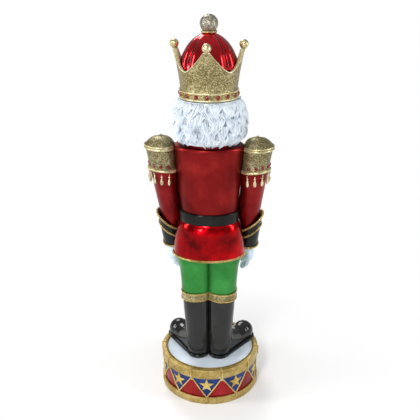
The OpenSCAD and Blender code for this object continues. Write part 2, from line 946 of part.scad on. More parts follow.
module epaulette_tassels() {
  bead_r = tassel_r * tassel_bead;
  drop_l = tassel_l * tassel_drop;
  stem_z = drop_l + 3 * bead_r;
  function drop_r(t) = tassel_r * pow(sin(t), tassel_power) * (tassel_full - t / 180);
  color("goldenrod") on_epaulette(epaulette_ring_r + epaulette_bead / 2, 0)
    translate([0, 0, -tassel_l]) rotate_extrude() polygon(concat(
      [[0, 0]],
      [for (t = [15 : turn_step : 165]) [drop_r(t), drop_l * t / 165]],
      [for (t = [-50 : 50 : 50]) [bead_r * cos(t), drop_l + bead_r * (tassel_neck + sin(t))]],
      [[tassel_stem_r, stem_z], [tassel_stem_r, tassel_l], [0, tassel_l]]));
}

// Head
module head() {
  color("navajowhite") at_figure() rotate_extrude() polygon([
    [0, z_shoulder - neck_h], [neck_r, z_shoulder - neck_h], [neck_r, z_shoulder],
    [neck_out_r, z_shoulder], [neck_out_r, z_shoulder + collar_h], [head_r, z_shoulder + chin_h],
    [head_r, cap_z - seat], [0, cap_z - seat]
  ]);
}

// Hair: a bob skinned round the head from one temple to the other, full in the middle and
// ragged at its lower edge, with the face left open
function hair_full(t) = hair_root + hair_swell * pow(sin(hair_first + hair_turn * t), hair_power);

function hair_lock(a, t) = lock_deep * abs(sin(lock_turn * a + lock_row_turn * floor(t * lock_rows)))
  + lock_wave * sin(lock_wave_turn * a + 360 * t * lock_rows / 2);

module hair() {
  first = face_half - 90;
  last = 270 - face_half;
  in_r = head_r + 2 * seat;
  z_low = z_shoulder + hair_lift;
  h = z_crown - z_low - seat;
  function thin(a) = sqrt(min(1, (min(a - first, last - a) + temple_in) / temple_w));
  function out_r(a, t) = in_r + (hair_full(t) + hair_lock(a, t)) * thin(a);
  function ragged(a, t) = hair_ragged * (1 - t) * abs(sin(lock_turn * a));
  color("white") at_figure() skinned([for (a = [first : hair_step : last])
    concat(
      [[in_r * cos(a), in_r * sin(a), z_low + hair_ragged], [in_r * cos(a), in_r * sin(a), z_low + h - seat]],
      [for (i = [hair_levels : -1 : 0])
        let (t = i / hair_levels, r = out_r(a, t))
        [r * cos(a), r * sin(a), z_low + h * t + ragged(a, t)]])]);
}

// Pieces of the face stand on the turned surface of the head
module on_face(x, z) {
  at_figure() rotate([0, 0, asin(x / head_r)]) translate([0, -head_r, z]) children();
}

module clear_of_head(gap) {
  difference() {
    children();
    at_figure() cylinder(r = head_r + gap, h = z_crown, $fn = head_fn);
  }
}

module beard() {
  color("white") difference() {
    clear_of_head(bore_gap) union() {
      for (i = [-beard_side : beard_side]) hull() {
        beard_ball(i * beard_step, mouth_z - beard_below, 0, beard_r);
        beard_ball(i * beard_step * beard_gather, beard_tip_z(i), beard_out, beard_tip_r);
      }
      for (s = [-1, 1]) hull() {
        beard_ball(s * beard_side * beard_step, mouth_z - beard_below, 0, beard_r);
        beard_ball(s * beard_cheek, mouth_z + beard_up, 0, beard_tip_r);
      }
    }
    coat_form(bore_gap);
  }
}

function beard_tip_z(i) = z_shoulder - beard_drop + beard_rise * abs(i);

module beard_ball(x, z, out, r) {
  on_face(x, z) translate([0, -out, 0]) sphere(r = r, $fn = small_fn);
}

module moustache() {
  color("white") clear_of_head(bore_gap) for (s = [-1, 1]) {
    hull() {
      moustache_ball(s * moustache_root_x, moustache_up, moustache_r);
      moustache_ball(s * moustache_mid_x, moustache_up, moustache_r);
    }
    hull() {
      moustache_ball(s * moustache_mid_x, moustache_up, moustache_r);
      moustache_ball(s * moustache_tip_x, moustache_curl, moustache_r / 2);
    }
  }
}

module moustache_ball(x, up, r) {
  on_face(x, mouth_z + up) translate([0, -moustache_out, 0]) sphere(r = r, $fn = small_fn);
}

module nose() {
  color("navajowhite") clear_of_head(seat) on_face(0, nose_z) hull() {
    translate([0, -nose_r / 2, 0]) sphere(r = nose_r, $fn = small_fn);
    translate([0, 0, nose_h]) sphere(r = bridge_r, $fn = small_fn);
  }
}

module eyes() {
  color("white") clear_of_head(seat) for (s = [-1, 1]) on_face(s * eye_x, eye_z)
    rotate([90, 0, 0]) translate([0, 0, -eye_in]) domed(eye_r, eye_dome);
}

module eyebrows() {
  color("white") clear_of_head(seat) for (s = [-1, 1]) hull() {
    on_face(s * brow_in_x, brow_z - brow_tilt) sphere(r = brow_r, $fn = small_fn);
    on_face(s * brow_out_x, brow_z) sphere(r = brow_r - brow_thin, $fn = small_fn);
  }
}

module teeth() {
  color("ivory") clear_of_head(seat) for (i = [-2 : 1]) on_face((i + 0.5) * (tooth_w + seat), mouth_z)
    translate([-tooth_w / 2, -tooth_proud, -tooth_w / 2]) cube([tooth_w - seat, 2 * tooth_proud, tooth_w]);
}

// Crown
// Radius and thickness of the crown at a height above its lower edge: it flares and thickens to the tips
function crown_out(z) = crown_r - crown_step
  + crown_flare * pow(max(0, (z - crown_band_h) / (crown_h - crown_band_h)), crown_flare_power);

function crown_wall_at(z) = crown_wall
  + (crown_tip_wall - crown_wall) * max(0, (z - crown_valley_h) / (crown_h - crown_valley_h));

function crown_row(i) = crown_band_h + i * (crown_h - crown_band_h) / crown_rows;

module crown_profile() {
  inner = head_r + 2 * seat;
  polygon(concat(
    [[inner, 0], [crown_r, 0], [crown_r, crown_bead_h], [crown_band_r, crown_bead_h],
     [crown_band_r, crown_band_h - crown_bead_h], [crown_r, crown_band_h - crown_bead_h],
     [crown_r, crown_band_h]],
    [for (i = [0 : crown_rows]) [crown_out(crown_row(i)), crown_row(i)]],
    [for (i = [crown_rows : -1 : 0])
      let (z = crown_row(i))
      [max(inner, crown_out(z) - crown_wall_at(z)), z]]));
}

// Outline of the gap between two points, seen from outside: a curve that steepens towards the tips
module valley_outline() {
  tip_r = crown_out(crown_h);
  half_w = tip_r * sin(180 / crown_points) - crown_tip_half * cos(180 / crown_points);
  rise = crown_h - crown_valley_h;
  polygon(concat(
    [for (t = [-1 : valley_step : 1]) [t * half_w, crown_valley_h + rise * pow(abs(t), valley_power)]],
    [[half_w, crown_h + 2 * over], [-half_w, crown_h + 2 * over]]));
}

module crown() {
  color("darkgoldenrod") at_figure() translate([0, 0, z_crown]) difference() {
    rotate_extrude() crown_profile();
    round_about(crown_points, 180 / crown_points)
      rotate([90, 0, 90]) translate([0, 0, head_r / 2]) linear_extrude(2 * head_r) valley_outline();
  }
}

module crown_gems() {
  color("crimson") at_figure() round_about(crown_gem_count, 90)
    translate([crown_band_r + seat, 0, z_crown + crown_band_h / 2]) rotate([0, 90, 0])
      domed(crown_gem_r, crown_gem_r);
}

module crown_balls() {
  ring_r = crown_out(crown_h) - crown_ball_in;
  lift = sqrt(pow(crown_ball_r, 2) - pow(crown_tip_half, 2));
  color("goldenrod") at_figure() round_about(crown_points) translate([ring_r, 0, crown_top_z + seat])
    intersection() {
      translate([0, 0, lift]) sphere(r = crown_ball_r);
      cylinder(r = 2 * crown_ball_r, h = 3 * crown_ball_r);
    }
}

// Angle from the nearest crease of the cap, which lies between two points of the crown
function crease_gap(a) = abs((a + 720) % (360 / crown_points) - 180 / crown_points);

function cap_out(z) = let (u = max(0, z - cap_equator) / cap_rise)
  (cap_r - cap_tuck * pow(max(0, cap_equator - z), 2)) * pow(max(0, 1 - pow(u, cap_power)), 1 / cap_power);

function cap_lobe(a) = 1 - cap_crease * exp(-pow(crease_gap(a) / crease_w, 2))
  + cap_pipe * exp(-pow(crease_gap(a) / pipe_w, 2));

module crown_cap() {
  quarter = [0, 12, 24, 32, 37, 40, 42, 43.5, 45, 46.5, 48, 50, 53, 58, 66, 78];
  angles = [for (q = [0 : crown_points - 1]) for (a = quarter) (a + q * 90) * 4 / crown_points];
  top = cap_top_z - cap_z;
  heights = [for (i = [0 : cap_rows]) top * (1 - pow(1 - i / cap_rows, cap_row_power))];
  color("crimson") difference() {
    at_figure() translate([0, 0, cap_z]) skinned([for (h = heights)
      [for (a = angles) cap_out(h) * cap_lobe(a) * [cos(a), sin(a), 0] + [0, 0, h]]]);
    stud_bore(seat);
  }
}

module stud_bore(gap) {
  at_figure() translate([0, 0, finial_z - stud_l - gap]) cylinder(r = stud_r + gap, h = stud_l + 2 * gap);
}

module finial_stud() {
  color("silver") stud_bore(0);
}

module finial_collar() {
  color("goldenrod") difference() {
    at_figure() translate([0, 0, cap_top_z]) rotate_extrude() polygon(concat(
      [[0, 0]],
      [for (t = [-ferrule_turn : turn_step : ferrule_turn])
        [finial_collar_r - finial_collar_h / 2 * (1 - cos(t)),
         finial_collar_h / 2 * (1 + sin(t) / sin(ferrule_turn))]],
      [[0, finial_collar_h]]));
    stud_bore(seat);
  }
}

module finial_ball() {
  color("goldenrod") difference() {
    at_figure() translate([0, 0, finial_z]) sphere(r = finial_r);
    at_figure() cylinder(r = far, h = cap_top_z + finial_collar_h + seat);
    stud_bore(seat);
  }
}

base_plate();
base_screws();
drum_shell();
drum_blue_panels();
drum_stars();
drum_cords();
bottom_hoop();
top_hoop();
drum_head();
head_cord();
leg_rods();
rod_nuts();
sole(1);  // left_sole
sole(-1);  // right_sole
boot(1);  // left_boot
boot(-1);  // right_boot
boot_band(1);  // left_boot_band
boot_band(-1);  // right_boot_band
trouser_leg(1);  // left_trouser_leg
trouser_leg(-1);  // right_trouser_leg
coat_skirt();
hem_braid();
coat_body();
belt();
belt_buckle();
coat_buttons();
coat_frogs();
collar();
arm_dowels();
sleeve(1);  // left_sleeve
sleeve(-1);  // right_sleeve
cuff(1);  // left_cuff
cuff(-1);  // right_cuff
cuff_braids(1);  // left_cuff_braids
cuff_braids(-1);  // right_cuff_braids
glove(1);  // left_glove
glove(-1);  // right_glove
epaulette(1);  // left_epaulette
epaulette(-1);  // right_epaulette
epaulette_cap(1);  // left_epaulette_cap
epaulette_cap(-1);  // right_epaulette_cap
epaulette_gems();
epaulette_tassels();
head();
hair();
beard();
moustache();
nose();
eyes();
eyebrows();
teeth();
crown();
crown_gems();
crown_balls();
crown_cap();
finial_collar();
finial_ball();
finial_stud();
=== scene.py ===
import bmesh
import bpy
import random
from math import asin, atan2, copysign, cos, degrees, exp, hypot, pi, radians, sin, sqrt, tan
from mathutils import Matrix, Vector, noise


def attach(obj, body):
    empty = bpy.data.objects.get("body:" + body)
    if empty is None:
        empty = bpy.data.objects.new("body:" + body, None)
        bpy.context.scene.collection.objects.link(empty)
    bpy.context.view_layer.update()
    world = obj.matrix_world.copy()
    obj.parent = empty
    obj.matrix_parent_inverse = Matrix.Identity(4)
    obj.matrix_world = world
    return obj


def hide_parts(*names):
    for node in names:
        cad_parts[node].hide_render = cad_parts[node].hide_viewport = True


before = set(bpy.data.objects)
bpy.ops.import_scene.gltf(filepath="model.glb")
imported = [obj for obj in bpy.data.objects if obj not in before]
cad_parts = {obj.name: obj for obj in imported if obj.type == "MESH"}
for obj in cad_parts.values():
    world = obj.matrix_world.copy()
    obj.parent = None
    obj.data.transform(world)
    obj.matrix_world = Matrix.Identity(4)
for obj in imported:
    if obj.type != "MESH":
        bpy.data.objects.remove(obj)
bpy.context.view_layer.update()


# Base board and its screws: a disc of hardboard let into the drum from below, held by six
# countersunk wood screws, with the nuts of the leg rods in two pockets. The solids already
# have these shapes, so they stay and only get their finish here.
def linear(code):
    """An sRGB hex colour as linear numbers, opaque."""
    parts = [int(code[i:i + 2], 16) / 255 for i in (0, 2, 4)]
    return tuple(c / 12.92 if c <= 0.04045 else ((c + 0.055) / 1.055) ** 2.4 for c in parts) + (1.0,)


def feed(tree, node, sockets):
    """Gives a node's sockets their plain values, and links to those given a source."""
    for name, value in sockets.items():
        if isinstance(value, bpy.types.NodeSocket):
            tree.links.new(value, node.inputs[name])
        else:
            node.inputs[name].default_value = value


def add(tree, kind, sockets=None, stops=(), **settings):
    """One shader node with its settings, its socket values and links, and a ramp's (place, hex) stops."""
    made = tree.nodes.new("ShaderNode" + kind)
    for name, value in settings.items():
        setattr(made, name, value)
    feed(tree, made, sockets or {})
    if stops:
        band = made.color_ramp.elements
        while len(band) < len(stops):
            band.new(0.5)
        for element, (place, code) in zip(band, stops):
            element.position = place
            element.color = linear(code)
    return made


def finish_named(name):
    """A new material with its tree, its object coordinates and its shader ready to be linked."""
    made = bpy.data.materials.new(name)
    made.use_nodes = True
    tree = made.node_tree
    return made, tree, add(tree, "TexCoord").outputs["Object"], tree.nodes["Principled BSDF"]


def per_metre(size):
    """The scale of a pattern whose features are of a size in millimetres."""
    return 1000 / size


# Hardboard: pressed wood fibre, dark and dull, with short fibres a few millimetres long.
hardboard, tree, spot, shader = finish_named("pressed_hardboard")
fibre = add(tree, "TexNoise", {"Vector": spot, "Scale": per_metre(2.381), "Detail": 6.0, "Roughness": 0.7})
blotch = add(tree, "TexNoise", {"Vector": spot, "Scale": per_metre(35.714), "Detail": 3.0})
mixed = add(tree, "Math", {0: fibre.outputs["Fac"], 1: blotch.outputs["Fac"]}, operation="MULTIPLY")
tone = add(tree, "ValToRGB", {"Fac": mixed.outputs["Value"]},
           ((0.1, "3A2C20"), (0.3, "5A4634"), (0.5, "77604A"))).outputs["Color"]
bump = add(tree, "Bump", {"Height": fibre.outputs["Fac"], "Strength": 0.35, "Distance": 0.0006})
feed(tree, shader, {"Base Color": tone, "Normal": bump.outputs["Normal"], "Roughness": 0.82})

# Zinc-plated steel: grey metal with the cloudy spangle of a plating bath.
zinc_steel, tree, spot, shader = finish_named("zinc_plated_steel")
cloud = add(tree, "TexNoise", {"Vector": spot, "Scale": per_metre(3.846), "Detail": 4.0})
tone = add(tree, "ValToRGB", {"Fac": cloud.outputs["Fac"]},
           ((0.3, "8F9295"), (0.7, "C3C6C8"))).outputs["Color"]
rough = add(tree, "MapRange", {"Value": cloud.outputs["Fac"], "To Min": 0.26, "To Max": 0.46})
feed(tree, shader, {"Base Color": tone, "Roughness": rough.outputs["Result"], "Metallic": 1.0})

# Beech dowel: pale wood with a fine straight grain along the dowel.
beech, tree, spot, shader = finish_named("beech_dowel")
fine = per_metre(1.111)
stretched = add(tree, "Mapping", {"Vector": spot, "Scale": (per_metre(25), fine, fine)})
grain = add(tree, "TexNoise", {"Vector": stretched.outputs["Vector"], "Scale": 1.0, "Detail": 5.0})
tone = add(tree, "ValToRGB", {"Fac": grain.outputs["Fac"]},
           ((0.3, "B98F62"), (0.7, "D9B88C"))).outputs["Color"]
feed(tree, shader, {"Base Color": tone, "Roughness": 0.62})

carried_over = {
    "base_plate": hardboard, "base_screws": zinc_steel, "leg_rods": zinc_steel,
    "rod_nuts": zinc_steel, "finial_stud": zinc_steel, "arm_dowels": beech,
}
for name, finish in carried_over.items():
    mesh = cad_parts[name].data
    mesh.materials.clear()
    mesh.materials.append(finish)


# Drum shell: a cast ring painted a deep foil red, seen only between the cords. Its wall
# runs from the floor to the drum head, with a ledge inside that the base board screws to.
def turned(profile, steps=128, loop=True):
    """A form turned on the z axis from a profile of (radius, height) in millimetres."""
    bm = bmesh.new()
    points = [bm.verts.new((r, 0, z)) for r, z in profile]
    edges = [bm.edges.new(pair) for pair in zip(points, points[1:])]
    if loop:
        edges.append(bm.edges.new((points[-1], points[0])))
    bmesh.ops.spin(bm, geom=points + edges, cent=(0, 0, 0), axis=(0, 0, 1),
                   angle=2 * pi, steps=steps, use_merge=True)
    bmesh.ops.remove_doubles(bm, verts=bm.verts, dist=1e-4)
    bmesh.ops.dissolve_degenerate(bm, edges=bm.edges, dist=1e-4)
    bmesh.ops.recalc_face_normals(bm, faces=bm.faces)
    return bm


def eased(bm, width, segments=3):
    """Rounds every edge that turns by more than 30 degrees."""
    sharp = [e for e in bm.edges if len(e.link_faces) == 2 and e.calc_face_angle(0) > radians(30)]
    bmesh.ops.bevel(bm, geom=sharp, offset=width, offset_type="OFFSET", affect="EDGES",
                    segments=segments, profile=0.5, material=-1, clamp_overlap=True)
    return bm


def piece(name, bm, finish, slot, *nodes):
    """Makes a finished mesh, in metres, ride on the figure in place of its solids."""
    bmesh.ops.scale(bm, vec=(0.001, 0.001, 0.001), verts=bm.verts)
    mesh = bpy.data.meshes.new(name)
    bm.to_mesh(mesh)
    bm.free()
    for each in finish if isinstance(finish, list) else [finish]:
        mesh.materials.append(each)
    mesh.shade_smooth()
    mesh.set_sharp_from_angle(angle=radians(50))
    made = bpy.data.objects.new(name, mesh)
    bpy.context.scene.collection.objects.link(made)
    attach(made, "root")
    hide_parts(*nodes)
    return made


def foil_paint(name, dark, mid, light, patch=45.455, rough=0.3, metal=0.6, coat=0.8, ripple=0.0):
    """Transparent colour brushed over silver foil: soft patches of a size in millimetres, brush drag, a
    clear coat on top, and ripples of a hand-smoothed casting that bend what the gloss reflects."""
    made, tree, spot, shader = finish_named(name)
    patchy = add(tree, "TexNoise", {"Vector": spot, "Scale": per_metre(patch), "Detail": 4.0,
                                    "Roughness": 0.55})
    drag = add(tree, "Mapping", {"Vector": spot, "Scale": (1.0, 1.0, 0.22)})
    streak = add(tree, "TexNoise", {"Vector": drag.outputs["Vector"], "Scale": per_metre(4.167),
                                    "Detail": 3.0})
    both = add(tree, "Mix", {"Factor": 0.08, "A": patchy.outputs["Fac"], "B": streak.outputs["Fac"]})
    tone = add(tree, "ValToRGB", {"Fac": both.outputs["Result"]},
               ((0.34, dark), (0.52, mid), (0.68, light))).outputs["Color"]
    spread = add(tree, "MapRange", {"Value": streak.outputs["Fac"], "From Min": 0.3, "From Max": 0.7,
                                    "To Min": rough - 0.06, "To Max": rough + 0.08})
    bump = add(tree, "Bump", {"Height": both.outputs["Result"], "Strength": 0.12, "Distance": 0.0012})
    swell = add(tree, "TexNoise", {"Vector": spot, "Scale": per_metre(38.462), "Detail": 1.0})
    wavy = add(tree, "Bump", {"Height": swell.outputs["Fac"], "Strength": ripple, "Distance": 0.006,
                              "Normal": bump.outputs["Normal"]})
    feed(tree, shader, {"Base Color": tone, "Roughness": spread.outputs["Result"], "Metallic": metal,
                        "Normal": wavy.outputs["Normal"], "Coat Weight": coat, "Coat Roughness": 0.08})
    return made


shell_r, shell_in, ledge_in = 117.5, 109.5, 97.5
drum_red = foil_paint("red_foil_lacquer_on_drum", "861619", "A02023", "B42E30", rough=0.34, metal=0.85,
                      coat=0.12)
shell = turned([(shell_in, 8), (shell_in, 0.5), (shell_r, 0.5), (shell_r, 86), (shell_in, 86),
                (shell_in, 32), (ledge_in, 20), (ledge_in, 8)], steps=160)
piece("drum_shell_painted", eased(shell, 0.6, 2), drum_red, "drum_red", "drum_shell")


# Blue panels: ten thin raised triangles, point down, cast with the shell and painted a
# metallic blue, each filling the field between two runs of the cord.
field_low, field_high, turn_step = 18.0, 72.0, 36.0


def verts_of(geom):
    """The points among what an operator gives back."""
    return [v for v in geom if isinstance(v, bmesh.types.BMVert)]


def wrapped(bm, radius, turn):
    """Bends a flat shape (x along the wall, y up, z outwards) round the drum at an angle in degrees."""
    for v in bm.verts:
        a = radians(turn) - v.co.x / radius
        r = radius + v.co.z
        v.co = Vector((r * cos(a), r * sin(a), v.co.y))
    bmesh.ops.recalc_face_normals(bm, faces=bm.faces)


def ten_times(bm):
    """Repeats a mesh at each of the drum's ten turns."""
    bmesh.ops.spin(bm, geom=bm.verts[:] + bm.edges[:] + bm.faces[:], cent=(0, 0, 0), axis=(0, 0, 1),
                   angle=1.8 * pi, steps=9, use_duplicate=True)
    return bm


drum_blue = foil_paint("blue_metallic_enamel", "14235A", "1D3878", "2C4E96", rough=0.36, metal=0.6,
                       coat=0.15)
panel = bmesh.new()
half = shell_r * radians(turn_step / 2) - 1
bmesh.ops.create_grid(panel, x_segments=14, y_segments=8, size=1.0)
for v in panel.verts:
    up = (v.co.y + 1) / 2
    v.co = Vector((v.co.x * half * up, field_low + 1 + (field_high - field_low - 1.2) * up, 0))
bmesh.ops.remove_doubles(panel, verts=panel.verts, dist=1e-4)
sheet = bmesh.ops.extrude_face_region(panel, geom=panel.faces[:])["geom"]
bmesh.ops.translate(panel, verts=verts_of(sheet), vec=(0, 0, 0.6))
wrapped(panel, shell_r + 0.05, 90)
piece("drum_blue_triangles", ten_times(panel), drum_blue, "drum_blue", "drum_blue_panels")


# Stars: five-pointed reliefs cast on the blue panels and picked out in gold paint, with
# softened arrises where the casting came out of its mould.
def flaked(name, stops, flake, cloudy, share, rough, metal, lean, shade_grooves=False):
    """Paint with flakes of a size in millimetres: over soft clouds each has its own share of brightness,
    its own gloss between two values, and its own lean. A brown painted shade can lie in the grooves."""
    made, tree, spot, shader = finish_named(name)
    grain = add(tree, "TexVoronoi", {"Vector": spot, "Scale": per_metre(flake)}).outputs["Color"]
    cloud = add(tree, "TexNoise", {"Vector": spot, **cloudy})
    parts = add(tree, "SeparateColor", {"Color": grain})
    both = add(tree, "Mix", {"Factor": share, "A": cloud.outputs["Fac"], "B": parts.outputs["Red"]})
    tone = add(tree, "ValToRGB", {"Fac": both.outputs["Result"]}, stops).outputs["Color"]
    # Painted shade: a brown tone laid over the groove layer, darkest deep between a rope's strands.
    if shade_grooves:
        groove_shade = add(tree, "Attribute", attribute_name="groove_shade")
        tone = add(tree, "Mix", {"Factor": groove_shade.outputs["Fac"], "A": tone, "B": linear("4A3A1C")},
                   data_type="RGBA").outputs["Result"]
    low, high = rough
    spread = add(tree, "MapRange", {"Value": parts.outputs["Green"], "To Min": low, "To Max": high})
    tilt = add(tree, "VectorMath", {0: grain, 1: (0.5, 0.5, 0.5)}, operation="SUBTRACT")
    leant = add(tree, "VectorMath", {0: tilt.outputs["Vector"], "Scale": lean}, operation="SCALE")
    face = add(tree, "NewGeometry").outputs["Normal"]
    moved = add(tree, "VectorMath", {0: face, 1: leant.outputs["Vector"]}, operation="ADD")
    unit = add(tree, "VectorMath", {0: moved.outputs["Vector"]}, operation="NORMALIZE")
    feed(tree, shader, {"Base Color": tone, "Roughness": spread.outputs["Result"], "Metallic": metal,
                        "Normal": unit.outputs["Vector"]})
    return made


def gold_paint(name, dark, mid, light, flake=1.111, sparkle=0.25, rough=0.38, metal=0.85, shade_grooves=False):
    """Gold paint with fine leaf in it, that catches the light, and a brown painted shade in grooves. The
    leaf is finer than a hair's width; it is drawn about a millimetre across so that it shows."""
    return flaked(name, ((0.3, dark), (0.5, mid), (0.72, light)), flake,
                  {"Scale": per_metre(33.333), "Detail": 5.0, "Roughness": 0.6}, sparkle,
                  (rough - 0.1, rough + 0.14), metal, sparkle * 2.0, shade_grooves)


star_gold = gold_paint("gold_paint_on_stars", "A0863A", "D2B45C", "EED890", sparkle=0.2, metal=0.55,
                       rough=0.45)
star = bmesh.new()
star_r, star_waist, star_z = 18.0, 0.42, 52.5
ring = bmesh.ops.create_circle(star, cap_ends=True, segments=10, radius=1.0)["verts"]
for i, v in enumerate(ring):
    r = star_r if i % 2 == 0 else star_r * star_waist
    v.co = Vector((r * v.co.x, star_z + r * v.co.y, 0))
top = bmesh.ops.extrude_face_region(star, geom=star.faces[:])["geom"]
bmesh.ops.translate(star, verts=verts_of(top), vec=(0, 0, 1.4))
lid = [f for f in top if isinstance(f, bmesh.types.BMFace)]
bmesh.ops.inset_region(star, faces=lid, thickness=1.3, depth=0.6, use_even_offset=True)
bmesh.ops.poke(star, faces=lid, offset=0.5)
wrapped(star, shell_r + 0.5, 90)
piece("drum_gold_stars", ten_times(star), star_gold, "bright_gold", "drum_stars")


# Cords: a laid gold rope zigzags between the hoops, is tied over the upper hoop at each
# upper turn and caught under the lower hoop's edge at each lower turn.
def joined(bm, part):
    """Puts a finished small mesh into a larger one."""
    mesh = bpy.data.meshes.new("join")
    part.to_mesh(mesh)
    part.free()
    bm.from_mesh(mesh)
    bpy.data.meshes.remove(mesh)


def close_ends(bm):
    """Fills the open ends of a form."""
    bmesh.ops.edgeloop_fill(bm, edges=[e for e in bm.edges if e.is_boundary])


def painted(bm, finish):
    """Gives all of a form one of its piece's finishes, by number."""
    for f in bm.faces:
        f.material_index = finish


def clamped(x):
    return min(1.0, max(0.0, x))


def rope(bm, place, stations, radius, turns, closed=True, sides=9, finish=0):
    """A laid rope. A ring of points is spun round a hoop, then wrung into strands and moved on to
    its path: place(u) gives, for u from 0 to 1, the point, the outward side and the other side."""
    hoop, strands, core = 9.0, 3, 0.46
    part = bmesh.new()
    groove_shade = part.verts.layers.float.new("groove_shade")
    ring = bmesh.ops.create_circle(part, segments=sides, radius=1.0)["verts"]
    bmesh.ops.transform(part, verts=ring,
                        matrix=Matrix.Translation((hoop, 0, 0)) @ Matrix.Rotation(pi / 2, 4, "X"))
    sweep = 2 * pi if closed else 1.5 * pi
    bmesh.ops.spin(part, geom=ring + part.edges[:], cent=(0, 0, 0), axis=(0, 0, 1), angle=sweep,
                   steps=stations, use_merge=closed)
    if not closed:
        close_ends(part)
    places = {}
    for v in part.verts:
        step = round((atan2(v.co.y, v.co.x) % (2 * pi)) / sweep * stations)
        u = step % (stations if closed else 4 * stations // 3) / stations
        if step not in places:
            places[step] = place(u)
        point, out, across = places[step]
        around = atan2(v.co.z, hypot(v.co.x, v.co.y) - hoop)
        side = ((around * strands / (2 * pi) + 0.5) % 1.0 - 0.5) * 2 * pi / strands
        r = core * cos(side) + sqrt((1 - core) ** 2 - (core * sin(side)) ** 2)
        a = around + turns * 2 * pi * u / strands
        v.co = point + radius * r * (out * cos(a) + across * sin(a))
        # The groove layer is painted shade: it rises where the strands dip, between them.
        v[groove_shade] = clamped((0.86 - r) / 0.26)
    painted(part, finish)
    bmesh.ops.recalc_face_normals(part, faces=part.faces)
    joined(bm, part)


def along(points, out_of, closed=False):
    """A path for rope() through points, with the outward side of each place from a function."""
    points = list(points) + ([points[0]] if closed else [])
    lengths = [0.0]
    for a, b in zip(points, points[1:]):
        lengths.append(lengths[-1] + (b - a).length)
    last = len(points) - 1
    ahead = [points[min(i + 1, last)] - points[max(i - 1, 0)] for i in range(last + 1)]
    if closed:
        ahead[0] = ahead[last] = points[1] - points[last - 1]

    def place(u):
        s = min(u, 1.0) * lengths[-1]
        i = next(k for k in range(last) if s <= lengths[k + 1] + 1e-6)
        t = (s - lengths[i]) / max(1e-9, lengths[i + 1] - lengths[i])
        spot = points[i].lerp(points[i + 1], t)
        way = ahead[i].lerp(ahead[i + 1], t).normalized()
        out = out_of(spot)
        out = (out - way * out.dot(way)).normalized()
        return spot, out, way.cross(out)
    return place


def wall_point(r, turn, z):
    a = radians(turn)
    return Vector((r * cos(a), r * sin(a), z))


def from_axis(spot):
    return Vector((spot.x, spot.y, 0)).normalized()


# Gold with painted shade in the cord's grooves.
cord_gold = gold_paint("gold_paint_on_cord", "B89C50", "DCC47C", "F2E4B0", shade_grooves=True, sparkle=0.12,
                       metal=0.5, rough=0.38)
cords = bmesh.new()
for side in (-0.5, 0.5):
    run = [wall_point(shell_r + 1.4, 90 + side * turn_step * t / 12,
                      field_low + (field_high - field_low) * t / 12) for t in range(13)]
    rope(cords, along(run, from_axis), 60, 1.7, turns=22, closed=False)
tie = 90 + 0.5 * turn_step
over_hoop = [(118.7, 66), (119.5, 69.5), (123.0, 72.5), (123.1, 78), (123.1, 94), (122.0, 96.6),
             (119, 97.2), (113, 97.2), (110.2, 96.4)]
rope(cords, along([wall_point(r, tie, z) for r, z in over_hoop],
                  lambda p: Vector((p.x, p.y, 60)).normalized()), 54, 1.5, turns=18, closed=False)
knot = [wall_point(120.1 + 0.8 * sin(t), tie + 1.1 * cos(t), 67.5 + 2.6 * sin(t))
        for t in [i * pi / 5 for i in range(11)]]
rope(cords, along(knot, from_axis), 24, 1.3, turns=8, closed=False)
hitch = [(118.7, 20.5), (121, 19.3), (122.9, 17), (122.9, 11), (122.3, 9.2)]
rope(cords, along([wall_point(r, 90, z) for r, z in hitch], from_axis), 24, 1.6, turns=9, closed=False)
piece("drum_zigzag_cord", ten_times(cords), cord_gold, "bright_gold", "drum_cords")


# Hoops: two bands cast round the drum and painted gold with a little glitter. The upper one
# turns in over the drum head, and both have rounded arrises where the paint wears bright.
hoop_gold = gold_paint("gold_paint_on_hoops", "8A7232", "B39A55", "D3BF84", flake=1.613, sparkle=0.22,
                       metal=0.6, rough=0.42)
hoop_in, hoop_r = 117.7, 122.0
lower = turned([(hoop_in, 0), (121.4, 0), (hoop_r, 2), (hoop_r, 16), (121.2, 18), (hoop_in, 18)], steps=180)
piece("drum_lower_hoop", eased(lower, 0.7), hoop_gold, "gold_glitter", "bottom_hoop")
upper = turned([(hoop_in, 72), (121.2, 72), (hoop_r, 74), (hoop_r, 94), (120.6, 96), (111.4, 96),
                (111, 94.2), (hoop_in, 94.2)], steps=180)
piece("drum_upper_hoop", eased(upper, 0.9), hoop_gold, "gold_glitter", "top_hoop")


# Drum head: a disc cast to look like stretched skin, painted a cool white, dropped into the
# shell's top with its edge under the hoop's lip.
def white_paint(name, shade, mid, light, rough):
    """Brushed white paint with a cool cast, slightly uneven, under a thin clear coat."""
    made, tree, spot, shader = finish_named(name)
    cloud = add(tree, "TexNoise", {"Vector": spot, "Scale": per_metre(62.5), "Detail": 5.0,
                                   "Roughness": 0.6})
    speck = add(tree, "TexNoise", {"Vector": spot, "Scale": per_metre(2.632), "Detail": 2.0})
    both = add(tree, "Mix", {"Factor": 0.25, "A": cloud.outputs["Fac"], "B": speck.outputs["Fac"]})
    tone = add(tree, "ValToRGB", {"Fac": both.outputs["Result"]},
               ((0.3, shade), (0.5, mid), (0.7, light))).outputs["Color"]
    bump = add(tree, "Bump", {"Height": both.outputs["Result"], "Strength": 0.15, "Distance": 0.001})
    feed(tree, shader, {"Base Color": tone, "Normal": bump.outputs["Normal"], "Roughness": rough,
                        "Coat Weight": 0.4, "Coat Roughness": 0.12})
    return made


